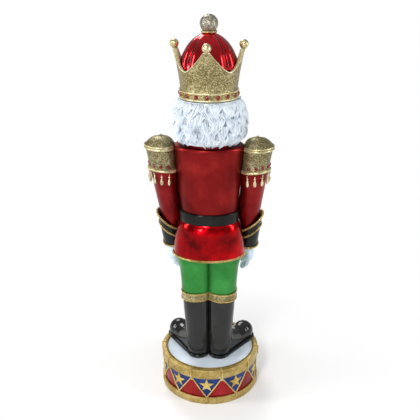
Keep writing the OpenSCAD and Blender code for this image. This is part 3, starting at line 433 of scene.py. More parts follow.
drumskin_white = white_paint("cool_white_drum_paint", "BECAD6", "CCD7E2", "DCE4EC", rough=0.4)
skin_rings = [(0, 94)] + [(r, 94 - 0.25 * sin(pi * r / 111)) for r in range(12, 109, 12)]
skin_rings += [(shell_in, 94), (117.3, 93.8), (117.3, 86.2), (0, 86.2)]
skin = turned(skin_rings, loop=False)
piece("drum_head_skin", skin, drumskin_white, "white_paint", "drum_head")

# Dark gold with painted shade in the rope's grooves.
dark_rope = gold_paint("gold_rope_with_painted_groove_shade", "6B5826", "8F7838", "B89F5C", shade_grooves=True, sparkle=0.15,
                       metal=0.6, rough=0.45)
ring_rope = bmesh.new()


def round_axis(r, z):
    """A path for rope() round the z axis."""
    return lambda u: (wall_point(r, 360 * u, z), wall_point(1, 360 * u, 0), Vector((0, 0, 1)))


rope(ring_rope, round_axis(109.3, 95.6), 720, 1.9, turns=240)
piece("drum_head_rope", ring_rope, dark_rope, "bright_gold", "head_cord")


# Soles: flat black soles with a narrow welt, cast with rounded edges and glued to the drum
# head. The toes reach over the hoop, so each sole is let in where the rope ring passes.
def black_enamel(name, rough=0.18, coat=0.3, shine=0.3):
    """Black gloss enamel: deep black, fine orange-peel, faint dust and rub in the gloss."""
    made, tree, spot, shader = finish_named(name)
    cloud = add(tree, "TexNoise", {"Vector": spot, "Scale": per_metre(29.412), "Detail": 5.0,
                                   "Roughness": 0.6})
    peel = add(tree, "TexNoise", {"Vector": spot, "Scale": per_metre(2.381), "Detail": 1.0})
    tone = add(tree, "ValToRGB", {"Fac": cloud.outputs["Fac"]},
               ((0.3, "0C0E0C"), (0.5, "131513"), (0.72, "1B1D1B"))).outputs["Color"]
    spread = add(tree, "MapRange", {"Value": cloud.outputs["Fac"], "From Min": 0.3, "From Max": 0.7,
                                    "To Min": rough - 0.04, "To Max": rough + 0.12})
    bump = add(tree, "Bump", {"Height": peel.outputs["Fac"], "Strength": 0.06, "Distance": 0.0006})
    feed(tree, shader, {"Base Color": tone, "Roughness": spread.outputs["Result"],
                        "Normal": bump.outputs["Normal"], "Specular IOR Level": shine,
                        "Coat Weight": coat, "Coat Roughness": 0.06})
    return made


def column(levels, outline, sides=64):
    """A form drawn up through its levels: a ring is extruded from one to the next, closed at both
    ends, and each point then goes where outline(level, angle) puts it."""
    bm = bmesh.new()
    ring = bmesh.ops.create_circle(bm, segments=sides, radius=1.0)["verts"]
    bmesh.ops.spin(bm, geom=ring + bm.edges[:], cent=(0, 0, 0), axis=(0, 0, 1), angle=0.0,
                   dvec=(0, 0, 1), steps=len(levels) - 1)
    close_ends(bm)
    for v in bm.verts:
        v.co = Vector(outline(levels[round(v.co.z)], atan2(v.co.y, v.co.x)))
    bmesh.ops.recalc_face_normals(bm, faces=bm.faces)
    return bm


stand_back = 30.0


def placed(bm, matrix):
    """Moves and turns a whole form."""
    bmesh.ops.transform(bm, matrix=matrix, verts=bm.verts)
    return bm


def set_back(bm):
    """Moves a form made on the z axis to where the figure stands, behind the middle of the drum."""
    bmesh.ops.translate(bm, verts=bm.verts, vec=(0, stand_back, 0))
    return bm


def mirrored(bm):
    """Turns a form of the left side into that of the right."""
    bmesh.ops.scale(bm, vec=(-1, 1, 1), verts=bm.verts)
    bmesh.ops.reverse_faces(bm, faces=bm.faces)
    return bm


def pair(name, left, finish, slot, node):
    """A piece for the figure's left side and its mirror image for the right."""
    right = mirrored(set_back(left).copy())
    piece("left_" + name, left, finish, slot, "left_" + node)
    piece("right_" + name, right, finish, slot, "right_" + node)


leg_x, splay = 33.0, radians(35)
foot_place = Matrix.Translation((leg_x, 0, 0)) @ Matrix.Rotation(splay, 4, "Z")
heel_r, heel_y, toe_r, toe_y = 26.5, 12.5, 28.0, -89.0
boot_black = black_enamel("black_gloss_enamel_on_boots")


def sole_edge(level, a):
    z, proud = level
    r, y = (heel_r, heel_y) if sin(a) > 0 else (toe_r, toe_y)
    return ((r + proud) * cos(a), y + (r + proud) * sin(a), z)


sole_top, clear_of_rope = 101.2, 106.8
sole = column([(94, -1.2), (94.4, -0.4), (95.4, 0), (99.4, 0), (100.6, -0.5), (sole_top, -1.6)],
              sole_edge, 72)
long_sides = [e for e in sole.edges if e.calc_length() > 30]
bmesh.ops.subdivide_edges(sole, edges=long_sides, cuts=11, use_grid_fill=True)
for v in placed(sole, foot_place).verts:
    v.co.x = max(v.co.x, 0.3)
    reach = hypot(v.co.x, v.co.y + stand_back)
    if v.co.z < 98.5 and reach > clear_of_rope:
        v.co.x *= clear_of_rope / reach
        v.co.y = (v.co.y + stand_back) * clear_of_rope / reach - stand_back
pair("boot_sole", sole, boot_black, "black_paint", "sole")


# Boots: tall cavalry boots cast in one with the leg, a straight shaft that meets a long foot
# with a full round toe, sprayed black and glossed.
def rounded_block(x0, x1, depth, corner, inner, a):
    """A point of a leg's outline, seen from above, in the direction of an angle: a block with full
    corners on its outer side and one half of an open groove where it meets the other leg."""
    if cos(a) > 0:
        return (x1 - corner + corner * cos(a),
                copysign(depth / 2 - corner, sin(a)) + corner * sin(a))
    wide, deep = inner
    return (x0 + wide + wide * cos(a),
            copysign(depth / 2 - deep * cos(a) ** 2, sin(a)))


def cut_off(bm, at, way):
    """Cuts off what lies beyond a plane and closes the cut."""
    bmesh.ops.bisect_plane(bm, geom=bm.verts[:] + bm.edges[:] + bm.faces[:], plane_co=at, plane_no=way,
                           clear_outer=True)
    close_ends(bm)


def ball(bm, at, r, stretch=(1, 1, 1), place=Matrix()):
    """A ball, stretched or not, put into a mesh that will be melted together."""
    bmesh.ops.create_uvsphere(bm, u_segments=28, v_segments=18, radius=r,
                              matrix=place @ Matrix.Translation(at) @ Matrix.Diagonal((*stretch, 1)))


def hull(bm, *balls, place=Matrix()):
    """The taut skin over several balls of (point, radius), added to a mesh."""
    part = bmesh.new()
    for at, r in balls:
        bmesh.ops.create_uvsphere(part, u_segments=20, v_segments=14, radius=r,
                                  matrix=Matrix.Translation(at))
    made = bmesh.ops.convex_hull(part, input=part.verts[:])
    bmesh.ops.delete(part, geom=list(set(verts_of(made["geom_interior"]))))
    joined(bm, placed(part, place))


def cast(bm, grain, rounds=4):
    """Melts overlapping forms into one skin with soft inner corners, as a casting has."""
    mesh = bpy.data.meshes.new("casting")
    bm.to_mesh(mesh)
    bm.free()
    lump = bpy.data.objects.new("casting", mesh)
    bpy.context.scene.collection.objects.link(lump)
    melt = lump.modifiers.new("melt", "REMESH")
    melt.mode = "VOXEL"
    melt.voxel_size = grain
    soften = lump.modifiers.new("soften", "SMOOTH")
    soften.factor = 0.5
    soften.iterations = rounds
    made = bmesh.new()
    made.from_object(lump, bpy.context.evaluated_depsgraph_get())
    bpy.data.objects.remove(lump)
    bpy.data.meshes.remove(mesh)
    return made


def shaft_edge(level, a):
    z, x0, x1, depth, y = level
    px, py = rounded_block(x0, x1, depth, 25, (22, 14), a)
    return (px, py + y, z)


boot = bmesh.new()
shaft = column([(104, -0.5, 52, 50, 8), (112, -1.2, 54, 53, 7), (120, -1.2, 55.5, 56, 4.5),
                (134, -1.2, 57, 58, 1.5), (152, -1.2, 57.2, 60, 0), (185, -1.2, 59, 62, 0),
                (220, -1.2, 61.5, 64.5, 0), (253, -1.2, 63.2, 66, 0)], shaft_edge, 56)
bmesh.ops.triangulate(shaft, faces=shaft.faces)
joined(boot, shaft)
hull(boot, ((0, 11, 108), 23.4), ((0, 6, 124), 24), ((0, -42, 112), 23), place=foot_place)
hull(boot, ((0, -8, 130), 24), ((0, -48, 113), 23), place=foot_place)
hull(boot, ((0, -42, 111), 23), ((0, toe_y - 0.5, 111), 25), place=foot_place)
ball(boot, (0, toe_y + 2, 113.5), 26.2, (1.0, 1.02, 0.98), foot_place)
boot = cast(boot, 1.9, 9)
for v in boot.verts:
    v.co.x = max(v.co.x, 0.12)
cut_off(boot, (0, 0, sole_top), (0, 0, -1))
pair("boot_cast", boot, boot_black, "black_paint", "boot")


# Trousers: metallic green legs, smooth and full, that meet in a soft groove down the middle
# and pass up under the hem of the coat.
boot_top, leg_h = 252.0, 121.0
trouser_green = foil_paint("green_metallic_lacquer", "236D2A", "2F8437", "3F9847", patch=71.429, rough=0.36,
                           metal=0.75, coat=0.1)


def trouser_edge(z, a):
    t = (z - boot_top) / leg_h
    full = 1.2 * exp(-((z - 280) / 9) ** 2) + 2.2 * exp(-((z - 358) / 12) ** 2)
    px, py = rounded_block(0.15, 63 + 10 * t + full, 64 + 10 * t + 2 * full, 30, (30, 13), a)
    crease = noise.noise(Vector((px * 0.03, py * 0.03, z * 0.045))) * 0.9
    return (px + crease * cos(a) * (1 if px > 8 else 0.2), py + crease * sin(a), z)


leg = column([boot_top + leg_h * i / 30 for i in range(31)], trouser_edge, 72)
pair("trouser_leg_painted", leg, trouser_green, "green_paint", "trouser_leg")


# Boot bands: a glittered gold cuff round the top of each boot, edged above and below with a
# laid gold rope.
def glitter(name, dark, mid, light, sparkle=0.24, rough=0.36, metal=0.9):
    """Gold glitter bound in varnish. The real flakes are about 0.4 mm across; they are drawn near
    2 mm so that they still show from a step away, each with its own tilt and brightness."""
    return flaked(name, ((0.16, dark), (0.5, mid), (0.86, light)), 1.786,
                  {"Scale": per_metre(38.462), "Detail": 4.0}, 0.5,
                  (rough - 0.1, rough + 0.2), metal, sparkle)


gold_glitter = glitter("gold_glitter_varnish", "4E4424", "8A7C4C", "D6CDA6", metal=0.7, rough=0.4)
# Gold with painted shade in the braid's grooves.
braid_gold = gold_paint("gold_braid_with_painted_groove_shade", "8F7838", "C2A562", "E6D29A", shade_grooves=True, sparkle=0.15,
                        metal=0.6, rough=0.4)


def band_edge(level, a):
    z, grow = level
    px, py = rounded_block(0.4, 63.4 + grow, 66.4 + 2 * grow, 29, (28, 14), a)
    return (px, py, z)


def from_leg(spot):
    return Vector((spot.x - 32, spot.y, 0)).normalized()


band = column([(boot_top, 0.2), (boot_top, 2), (253, 2.6), (262, 2.9), (271, 2.6), (272, 2), (272, 0.2)],
              band_edge, 72)
for z, r in ((253.4, 2.0), (270.8, 2.1)):
    loop = [Vector(band_edge((z, 2.2), 2 * pi * (i + 0.5) / 64)) for i in range(64)]
    rope(band, along(loop, from_leg, closed=True), 264, r, turns=66, finish=1)
pair("boot_band_glittered", band, [gold_glitter, braid_gold], "gold_glitter", "boot_band")


# Coat skirt: a flared oval casting, candy red over silver, open underneath where the legs
# plug in, with the belt's land at its top.
coat_depth = 0.7
hem_z, belt_z = 369.0, 454.0


def oval_edge(level, a):
    half, z = level
    return (half * cos(a), half * coat_depth * sin(a) + stand_back, z)


def oval_form(profile):
    """An oval form drawn up through (half width, height) levels, standing on the figure's axis."""
    return column(profile, oval_edge, 120)


candy_red = foil_paint("candy_red_over_silver", "5C0003", "A80008", "F00014", patch=66.667, rough=0.22,
                       metal=1.0, coat=0.15, ripple=0.4)


def skirt_a(z):
    """Half width of the skirt at a height: a bell that fills out below the belt."""
    t = (z - hem_z) / (belt_z - hem_z)
    return 84 - 14.5 * max(0.0, t) ** 1.7 - 3 * max(0.0, t) ** 12 + 0.4 * sin(pi * t)


skirt = [(77.5, 373), (78, 368.6), (79, 368), (83, 368), (84, 368.8)]
skirt += [(skirt_a(z), z) for z in [hem_z + (belt_z - hem_z) * i / 22 for i in range(1, 22)]]
skirt += [(66.8, 453.4), (66, belt_z), (63, belt_z), (63, 467)]
piece("coat_skirt_candy", oval_form(skirt), candy_red, "red_coat", "coat_skirt")


def from_figure(spot):
    return Vector((spot.x * coat_depth ** 2, spot.y - stand_back, 0)).normalized()


hem = bmesh.new()
loop = [Vector(oval_edge((84.6, 371), 2 * pi * i / 180)) for i in range(180)]
rope(hem, along(loop, from_figure, closed=True), 640, 3.0, turns=150)
piece("hem_rope_braid", hem, braid_gold, "bright_gold", "hem_braid")


# Coat body: the tunic, an oval casting that widens to square shoulders with a rounded ridge,
# in a deeper, more even red than the skirt.
tunic_z, tunic_h = 481.0, 146.0


def tunic_a(z):
    """Half width of the tunic at a height: it widens to the shoulders and is a little full between."""
    t = (z - tunic_z) / tunic_h
    return 64.5 + 15.5 * t + 0.8 * sin(pi * t)


coat_red = foil_paint("red_lacquer_on_tunic", "680E0F", "861A1A", "A02822", patch=76.923, rough=0.4,
                      metal=0.95, coat=0.05)
tunic = [(20, 445), (20, 467), (63, 467), (63, 480), (64.2, 480.3)]
tunic += [(tunic_a(z), z) for z in [tunic_z + tunic_h * i / 20 for i in range(20)]]
tunic += [(73.2 + 7 * cos(t), 628.5 + 7 * sin(t)) for t in [pi * i / 12 for i in range(7)]]
tunic += [(68, 635.3), (66, 635.8), (20.4, 636)]
piece("coat_tunic", oval_form(tunic), coat_red, "red_coat", "coat_body")


def ringed(bm):
    """Makes a closed ring of a form drawn up outside and down inside, by joining its two ends."""
    for f in [f for f in bm.faces if len(f.verts) > 4]:
        bm.faces.remove(f)
    bmesh.ops.bridge_loops(bm, edges=[e for e in bm.edges if e.is_boundary])
    bmesh.ops.recalc_face_normals(bm, faces=bm.faces)
    return bm


belt_half = 68.6
belt_black = black_enamel("black_gloss_enamel_on_belt", rough=0.2, coat=0.08, shine=0.14)
strap = oval_form([(63.3, 454.3), (66, 454.3), (67.9, 454.8), (belt_half, 456.4), (belt_half, 477.6),
                   (67.9, 479.2), (66, 479.7), (63.3, 479.7)])
piece("coat_belt", ringed(strap), belt_black, "black_paint", "belt")


# Buckle, frogging and buttons: gold trim on the coat's front. The buckle is a square frame with
# a tongue, the frogs are laid braids that end in loops, and the buttons are domed with a rim.
def coat_front(x, z, proud):
    """A point on the coat's front, so far to the left, at a height, standing proud of the cloth."""
    a = (belt_half if z < 480 else tunic_a(z)) + proud
    return Vector((x, stand_back - coat_depth * sqrt(a * a - x * x), z))


trim_gold = gold_paint("bright_gold_enamel", "A8862E", "D2B254", "F0DC98", sparkle=0.12, metal=0.9,
                       rough=0.26)
bar = [(3.0, 0.0), (2.6, 2.2), (1.4, 3.2), (-1.4, 3.2), (-2.6, 2.2), (-3.0, 0.0)]
bar_hoop = 20.0
buckle = turned([(bar_hoop + w, h) for w, h in bar], steps=48)
for v in buckle.verts:
    round_by = hypot(v.co.x, v.co.y)
    way = Vector((v.co.x, v.co.y, 0)) / round_by
    square = 1 / (abs(way.x) ** 6 + abs(way.y) ** 6) ** (1 / 6)
    v.co = Vector((18 * square * way.x, 9.2 * square * way.y, v.co.z)) + way * (round_by - bar_hoop)
tongue = bmesh.new()
hull(tongue, ((-18, 0, 2.6), 1.8), ((19, 0, 3.6), 1.4))
joined(buckle, tongue)
for v in buckle.verts:
    v.co = coat_front(v.co.x, 467 + v.co.y, v.co.z + 0.3)
bmesh.ops.recalc_face_normals(buckle, faces=buckle.faces)
piece("belt_buckle_frame", buckle, trim_gold, "bright_gold", "belt_buckle")

frogs = bmesh.new()
buttons = bmesh.new()
for row in range(4):
    z, half = 480 + 26 * (row + 1), 29 + 2 * row
    for side in (-1, 1):
        run = [(0, 0), (6, 1.4), (half - 14, 1.6), (half - 6, 4.2), (half - 0.5, 0), (half - 6, -4.2),
               (half - 14, -1.6), (6, -1.4), (0, 0)]
        path_points = [coat_front(side * x, z + y, 1.6) for x, y in run]
        rope(frogs, along(path_points, from_figure), 110, 1.7, turns=46, closed=False)
    for x in (0, half - 6.5, 6.5 - half):
        at = coat_front(x, z, 2.6)
        outward = from_figure(at).to_track_quat("Z", "Y").to_matrix().to_4x4()
        dome = turned([(0, 4.4), (2.4, 4.1), (4.4, 2.9), (5.2, 1.9), (5.5, 2.2), (6.3, 1.9), (6.6, 0.9),
                       (6.5, -1.2), (0, -1.2)], steps=28, loop=False)
        joined(buttons, placed(dome, Matrix.Translation(at) @ outward))
piece("coat_frog_braids", frogs, braid_gold, "bright_gold", "coat_frogs")
piece("coat_gold_buttons", buttons, trim_gold, "bright_gold", "coat_buttons")


# Collar: a low standing collar, cast as a ring round the neck and painted the coat's red, with
# a gold rope along its upper edge. It stands on the coat's shoulders.
stand_collar = turned([(46.4, 636), (51, 636), (51.6, 638), (51.4, 646), (50.4, 648), (48, 648.4),
                       (46.4, 647.5)], steps=96)
rope(stand_collar, round_axis(50.6, 647.6), 320, 1.6, turns=96, finish=1)
piece("coat_collar", set_back(stand_collar), [coat_red, braid_gold], "red_coat", "collar")


# Sleeves: tapered tubes that hang from the shoulders, reach a little forward and lie against
# the side of the coat. The wooden dowels and the shoulder sockets are inside.
arm_place = (Matrix.Translation((102.5, 8, 589.5)) @ Matrix.Rotation(radians(3.2), 4, "Y")
             @ Matrix.Rotation(radians(-15), 4, "X"))
arm_l = 232.0


def against_coat(bm):
    """Flattens what would sink into the coat, in the figure's own frame, so that it lies on its side."""
    gap = 0.25
    for v in bm.verts:
        a = (skirt_a(v.co.z) if v.co.z < belt_z else tunic_a(min(max(v.co.z, 480), 630))) + gap
        inside = a * a - (v.co.y / coat_depth) ** 2
        if inside > 0 and v.co.x < sqrt(inside) and hem_z < v.co.z < 650:
            v.co.x = sqrt(inside)
    return bm


def sleeve_edge(t, a):
    z = -arm_l + 60 + 178 * t
    r = 21.4 + 9.4 * min(1.0, max(0.0, t - 0.22) / 0.7) ** 0.9
    fold = noise.noise(Vector((cos(a) * 1.3, sin(a) * 1.3, z * 0.03))) * 0.7
    inner = 13.0 * exp(-((t - 0.29) / 0.21) ** 2) if cos(a) < 0 else 0.0
    return ((r + fold + inner) * cos(a), (r + fold) * sin(a), z)


sleeve = placed(column([i / 34 for i in range(35)], sleeve_edge), arm_place)
cut_off(sleeve, (103.5, 0, 575), (-0.096, 0, 1))
sleeve_red = foil_paint("red_lacquer_on_sleeves", "6C0E10", "84181A", "9A2422", patch=76.923, rough=0.34,
                        metal=0.95, coat=0.06)
pair("sleeve_painted", against_coat(sleeve), sleeve_red, "red_coat", "sleeve")


# Cuffs: deep black gauntlet cuffs cut on a slant, higher on the outer side, with three gold
# ropes: along the slanted edge, half way down, and round the wrist.
def cuff_point(a, up, slant, proud):
    """A point on the cuff at an angle, where a slanted plane crosses it."""
    rise = tan(radians(slant))
    z = up
    for _ in range(6):
        r = 23 + 6 * clamped(z / 106) ** 1.15 + proud
        z = up + r * cos(a) * rise
    return Vector((r * cos(a), r * sin(a), z - arm_l))


def cuff_edge(level, a):
    t, proud = level
    low, high = cuff_point(a, 8, 0, proud), cuff_point(a, 77, 42, proud)
    return low.lerp(high, t) if t < 1 else high


cuff = column([(0.0, -9), (0.0, -1), (0.01, 0)] + [(i / 12, 0) for i in range(1, 13)]
              + [(1.0, -0.9), (0.985, -2.4), (0.8, -3.2), (0.55, -4)], cuff_edge, 80)
cuff_black = black_enamel("black_gloss_enamel_on_cuffs", rough=0.24, coat=0.08, shine=0.14)
pair("cuff_gauntlet", against_coat(placed(cuff, arm_place)), cuff_black, "black_paint", "cuff")

braids = bmesh.new()
for up, slant, r, turns in ((75.0, 42, 2.6, 54), (49.5, 38, 2.4, 54), (10.4, 0, 2.5, 48)):
    loop = [cuff_point(2 * pi * i / 96, up, slant, 0.9) for i in range(96)]
    rope(braids, along(loop, from_axis, closed=True), 240, r, turns=turns)
pair("cuff_rope_braids", against_coat(placed(braids, arm_place)), braid_gold, "bright_gold", "cuff_braids")


# Gloves: white dress gloves, each hand one casting with its fingers together and slightly bent,
# painted a cool white. The wrist goes up into the cuff.
glove_white = white_paint("white_glove_paint", "BCD0E4", "CEE0F0", "E2F0FC", rough=0.3)
glove = bmesh.new()
hull(glove, ((0, 0, 8), 17), ((3, -12, -24), 13.5), ((3, 12, -24), 13.5))
hull(glove, ((-5, 2, -14), 12), ((-9, 4, -38), 9.5))
for y, drop in ((-15, 60), (-5, 67), (5.2, 66), (14.6, 58)):
    hull(glove, ((2.5, y, -28), 9.2), ((0, y, -46), 8.0))
    hull(glove, ((0, y, -46), 8.0), ((-8, y * 0.93, -drop), 6.6))
hull(glove, ((-3, -15, -14), 9), ((-8, -22, -30), 7.4))
hull(glove, ((-8, -22, -30), 7.4), ((-11, -23, -43), 6.2))
glove = placed(cast(glove, 1.15, 2), arm_place @ Matrix.Translation((0, 0, -arm_l + 2)))
pair("glove_cast", glove, glove_white, "white_paint", "glove")


# Epaulettes: glittered gold drums that sit over the shoulders, leaning outwards, with a ring of
# beads below and a domed cap with a double rim and a small knob on top.
epaulette_place = Matrix(((1, 0, 0.108, 103.5), (0, 1, 0, 0), (0.096, 0, 1, 574), (0, 0, 0, 1)))


def bead(r, z, size, first=-90, last=90, count=7):
    """Profile points of a rounded bead on a turned form."""
    turns_of = [radians(first + (last - first) * i / (count - 1)) for i in range(count)]
    return [(r + size * cos(t), z + size * sin(t)) for t in turns_of]


# A smoother gold whose paler colour is a painted highlight on beads and edges.
edge_gold = gold_paint("pale_gold_highlight_on_edges", "A39360", "D0C293", "F0E8CC", sparkle=0.14, metal=0.75,
                       rough=0.32)


def highlight_or_shade_faces(bm, shows):
    """Gives the faces that a test picks the second finish: a paler gold as painted highlight on
    beads and edges, or a dark red as painted shade in seams.
    """
    for f in bm.faces:
        if shows(f.calc_center_median()):
            f.material_index = 1
    return bm


shoulder_glitter = glitter("gold_glitter_varnish_on_shoulders", "443B1F", "786C42", "BAB290", metal=0.7,
                           rough=0.4)
lid_z, lid_top, lid_r = 50.0, 59.3, 33.4


def on_epaulette(bm):
    """Puts a form on the shoulder; its lean eases off towards the lid, which lies almost level."""
    for v in bm.verts:
        v.co.z -= 0.066 * v.co.x * clamped(v.co.z / lid_z)
    return against_coat(placed(bm, epaulette_place))


drum_part = turned([(0, 0.3), (26, 0.3), (30.5, 0)] + bead(32.3, 3.4, 3.4)
                   + bead(31.6, 8.1, 1.3, -60, 80, 5) + [(31.2, 10.4), (31.4, 20), (32.2, 34), (33.2, 46)]
                   + [(33.6, lid_z), (0, lid_z)], steps=112, loop=False)
# Painted highlight: the beads of the lower ring take the paler gold.
highlight_or_shade_faces(drum_part, lambda p: p.z < 7 and hypot(p.x, p.y) > 32)
pair("epaulette_drum", on_epaulette(drum_part), [shoulder_glitter, edge_gold], "gold_glitter", "epaulette")
lid = turned([(0, lid_z + 0.1), (34.2, lid_z + 0.1)] + bead(34.8, 52.6, 2.5, -85, 62) + [(34.2, 55.6)]
             + bead(34.2, 57.6, 2.2, -58, 88)
             + [(r, lid_top) for r in (lid_r, 32.6, 31, 28.5, 25, 20, 14, 8, 3, 0)], steps=112, loop=False)
for v in lid.verts:
    out = hypot(v.co.x, v.co.y)
    if v.co.z > 59.2 and out < 33.5:
        full = 2.2 + 3.6 * max(0.0, -v.co.x / lid_r)
        v.co.z += 18.4 * (1 - (out / lid_r) ** full)
knob = turned([(0, -2)] + bead(0, 0, 3.1, -50, 90, 8), steps=24, loop=False)
bmesh.ops.translate(knob, verts=knob.verts, vec=(-4.5, 0, 78.4))
joined(lid, knob)
# Painted highlight: the double rim's beads take the paler gold.
highlight_or_shade_faces(lid, lambda p: p.z < lid_top and hypot(p.x, p.y) > 34.6)
pair("epaulette_lid", on_epaulette(lid), [shoulder_glitter, edge_gold], "gold_glitter", "epaulette_cap")


# Stones and tassels: nine red cabochons set above each epaulette's ring, and under each a small
# gold tassel on a loop, a bead over a fluted drop.

# Red acrylic: deep red, clouded a little, and highly polished.
red_stone, tree, spot, shader = finish_named("red_acrylic_cabochon")
cloud = add(tree, "TexNoise", {"Vector": spot, "Scale": per_metre(6.25), "Detail": 2.0})
tone = add(tree, "ValToRGB", {"Fac": cloud.outputs["Fac"]},
           ((0.3, "48020A"), (0.5, "6E0410"), (0.72, "8E0A18"))).outputs["Color"]
feed(tree, shader, {"Base Color": tone, "Roughness": 0.08, "IOR": 1.49, "Coat Weight": 0.3,
                    "Coat Roughness": 0.03})


def cabochon(r, h):
    return turned([(0, h), (r * 0.42, h * 0.9), (r * 0.76, h * 0.62), (r * 0.95, h * 0.3), (r, 0.1),
                   (r * 0.92, -0.6), (0, -0.6)], steps=20, loop=False)


facing_out = Matrix.Rotation(pi / 2, 4, "Y")
swing = Matrix.Rotation(radians(3), 4, "Y")
drop_profile = [(0, -29), (1.4, -28.7), (2.5, -27), (3.2, -23.5), (3.0, -19.5), (2.2, -16), (1.3, -13.4),
                (1.0, -12.4), (1.9, -11.4), (2.2, -10), (1.9, -8.6), (0.9, -7.8), (0.8, -4), (0.9, 0.4),
                (0, 0.4)]
loop = [Vector((1.9 * cos(t), 0, -4.4 + 3.6 * sin(t)))
        for t in [2 * pi * i / 16 for i in range(16)]]
stones, tassels = bmesh.new(), bmesh.new()
for side in (1, -1):
    for turn in range(-120, 121, 30):
        a = radians(turn)
        set_at = epaulette_place @ Vector((31.2 * cos(a), 31.2 * sin(a), 13.6))
        hang = epaulette_place @ Vector((33.2 * cos(a), 33.2 * sin(a), 0.4))
        face = Matrix.Rotation(a, 4, "Z")
        stone = placed(cabochon(4.1, 2.9), Matrix.Translation(set_at) @ face @ facing_out)
        drop = turned(drop_profile, steps=20, loop=False)
        for v in drop.verts:
            if v.co.z < -13.5:
                flute = 1 + 0.16 * cos(5 * atan2(v.co.y, v.co.x))
                v.co.x, v.co.y = v.co.x * flute, v.co.y * flute
        rope(drop, along(loop, lambda p: Vector((0, 1, 0)), closed=True), 32, 0.8, turns=12, sides=6)
        placed(drop, Matrix.Translation(hang) @ face @ swing)
        for part, whole in ((stone, stones), (drop, tassels)):
            set_back(part)
            if side < 0:
                mirrored(part)
            joined(whole, part)
piece("epaulette_red_stones", stones, red_stone, "red_stone", "epaulette_gems")
pale_gold = gold_paint("pale_gold_on_tassels", "A8976A", "D6C9A0", "F2EBD2", sparkle=0.12, metal=0.6,
                       rough=0.34)
piece("epaulette_gold_tassels", tassels, pale_gold, "bright_gold", "epaulette_tassels")


# Head: a turned block with rounded cheeks and chin that plugs into the collar. The front has a
# plain doll's face: a set mouth let in a little, and rosy cheeks misted on with an airbrush.
head_r = 56.0
mouth_z, eye_z, nose_z = 674.0, 716.0, 702.0

# Flesh enamel: warm and satin, mottled very slightly, with misted cheeks and a painted mouth.
flesh, tree, spot, shader = finish_named("flesh_enamel")
cloud = add(tree, "TexNoise", {"Vector": spot, "Scale": per_metre(22.222), "Detail": 4.0})
tone = add(tree, "ValToRGB", {"Fac": cloud.outputs["Fac"]},
           ((0.3, "CE9C80"), (0.5, "D8A98C"), (0.72, "E2B698"))).outputs["Color"]
for side in (-1, 1):
    apart = add(tree, "VectorMath", {0: spot, 1: (side * 0.033, -0.015, 0.694)}, operation="DISTANCE")
    mist = add(tree, "MapRange", {"Value": apart.outputs["Value"], "From Min": 0.004, "From Max": 0.019,
                                  "To Min": 0.62, "To Max": 0.0}, interpolation_type="SMOOTHSTEP")
    tone = add(tree, "Mix", {"Factor": mist.outputs["Result"], "A": tone, "B": linear("C2524E")},
               data_type="RGBA").outputs["Result"]
for layer, code in (("lip", "A83A38"), ("mouth", "4A0E10")):
    mask = add(tree, "Attribute", attribute_name=layer)
    tone = add(tree, "Mix", {"Factor": mask.outputs["Fac"], "A": tone, "B": linear(code)},
               data_type="RGBA").outputs["Result"]
spread = add(tree, "MapRange", {"Value": cloud.outputs["Fac"], "To Min": 0.36, "To Max": 0.52})
feed(tree, shader, {"Base Color": tone, "Roughness": spread.outputs["Result"], "Specular IOR Level": 0.35})

block = [(0, 606), (20, 606), (20, 636.2), (44, 636.4), (45.8, 638)]
block += [(45.8 + 10.4 * (0.5 - 0.5 * cos(pi * t)), 640 + 30 * t)
          for t in [i / 16 for i in range(1, 17)]]
block += [(56.2 - 0.2 * i / 30, 670 + 118 * i / 59) for i in range(1, 60)] + [(0, 788)]
head = turned(block, steps=180, loop=False)
mouth, lip = head.verts.layers.float.new("mouth"), head.verts.layers.float.new("lip")
for v in head.verts:
    if v.co.y < -30 and 655 < v.co.z < 695:
        across = abs(atan2(v.co.x, -v.co.y)) * head_r
        off = hypot(max(0.0, across - 15), max(0.0, abs(v.co.z - mouth_z) - 3)) - 4
        v[mouth] = clamped(0.5 - off / 1.5)
        v[lip] = exp(-((off - 2.2) / 1.7) ** 2)
        v.co += from_axis(v.co) * (1.5 * v[lip] - 2.2 * v[mouth])
piece("head_painted", set_back(head), flesh, "skin_paint", "head")


def on_face(x, z, out=0.0):
    """A place on the face: x is the way round to the left, and z of the place itself points outwards."""
    return (Matrix.Translation((0, stand_back, 0)) @ Matrix.Rotation(asin(x / head_r), 4, "Z")
            @ Matrix.Translation((0, -head_r - out, z)) @ Matrix.Rotation(pi / 2, 4, "X"))


# Nose and teeth: a small round nose with soft wings, a casting painted like the face it sits on, and
# a row of four square teeth in white enamel, let into the mouth.
nose = bmesh.new()
hull(nose, ((0, 0, 3.6), 7.0), ((0, 12, -0.5), 4.2), place=on_face(0, nose_z))
for side in (-1, 1):
    ball(nose, (side * 5.2, -1.6, 1.6), 4.4, place=on_face(0, nose_z))
piece("nose_painted", cast(nose, 0.9, 4), flesh, "skin_paint", "nose")
tooth_white = white_paint("white_enamel_on_teeth", "CFCDC4", "DEDCD4", "ECEAE4", rough=0.2)
teeth = bmesh.new()
for i in range(4):
    tooth = bmesh.new()
    bmesh.ops.create_cube(tooth, size=1.0)
    bmesh.ops.scale(tooth, vec=(7.6, 10.5 - 0.6 * abs(i - 1.5), 4.6), verts=tooth.verts)
    eased(tooth, 1.4)
    joined(teeth, placed(tooth, on_face(8.1 * (i - 1.5), mouth_z, 0.4)))
piece("mouth_teeth", teeth, tooth_white, "white_paint", "teeth")


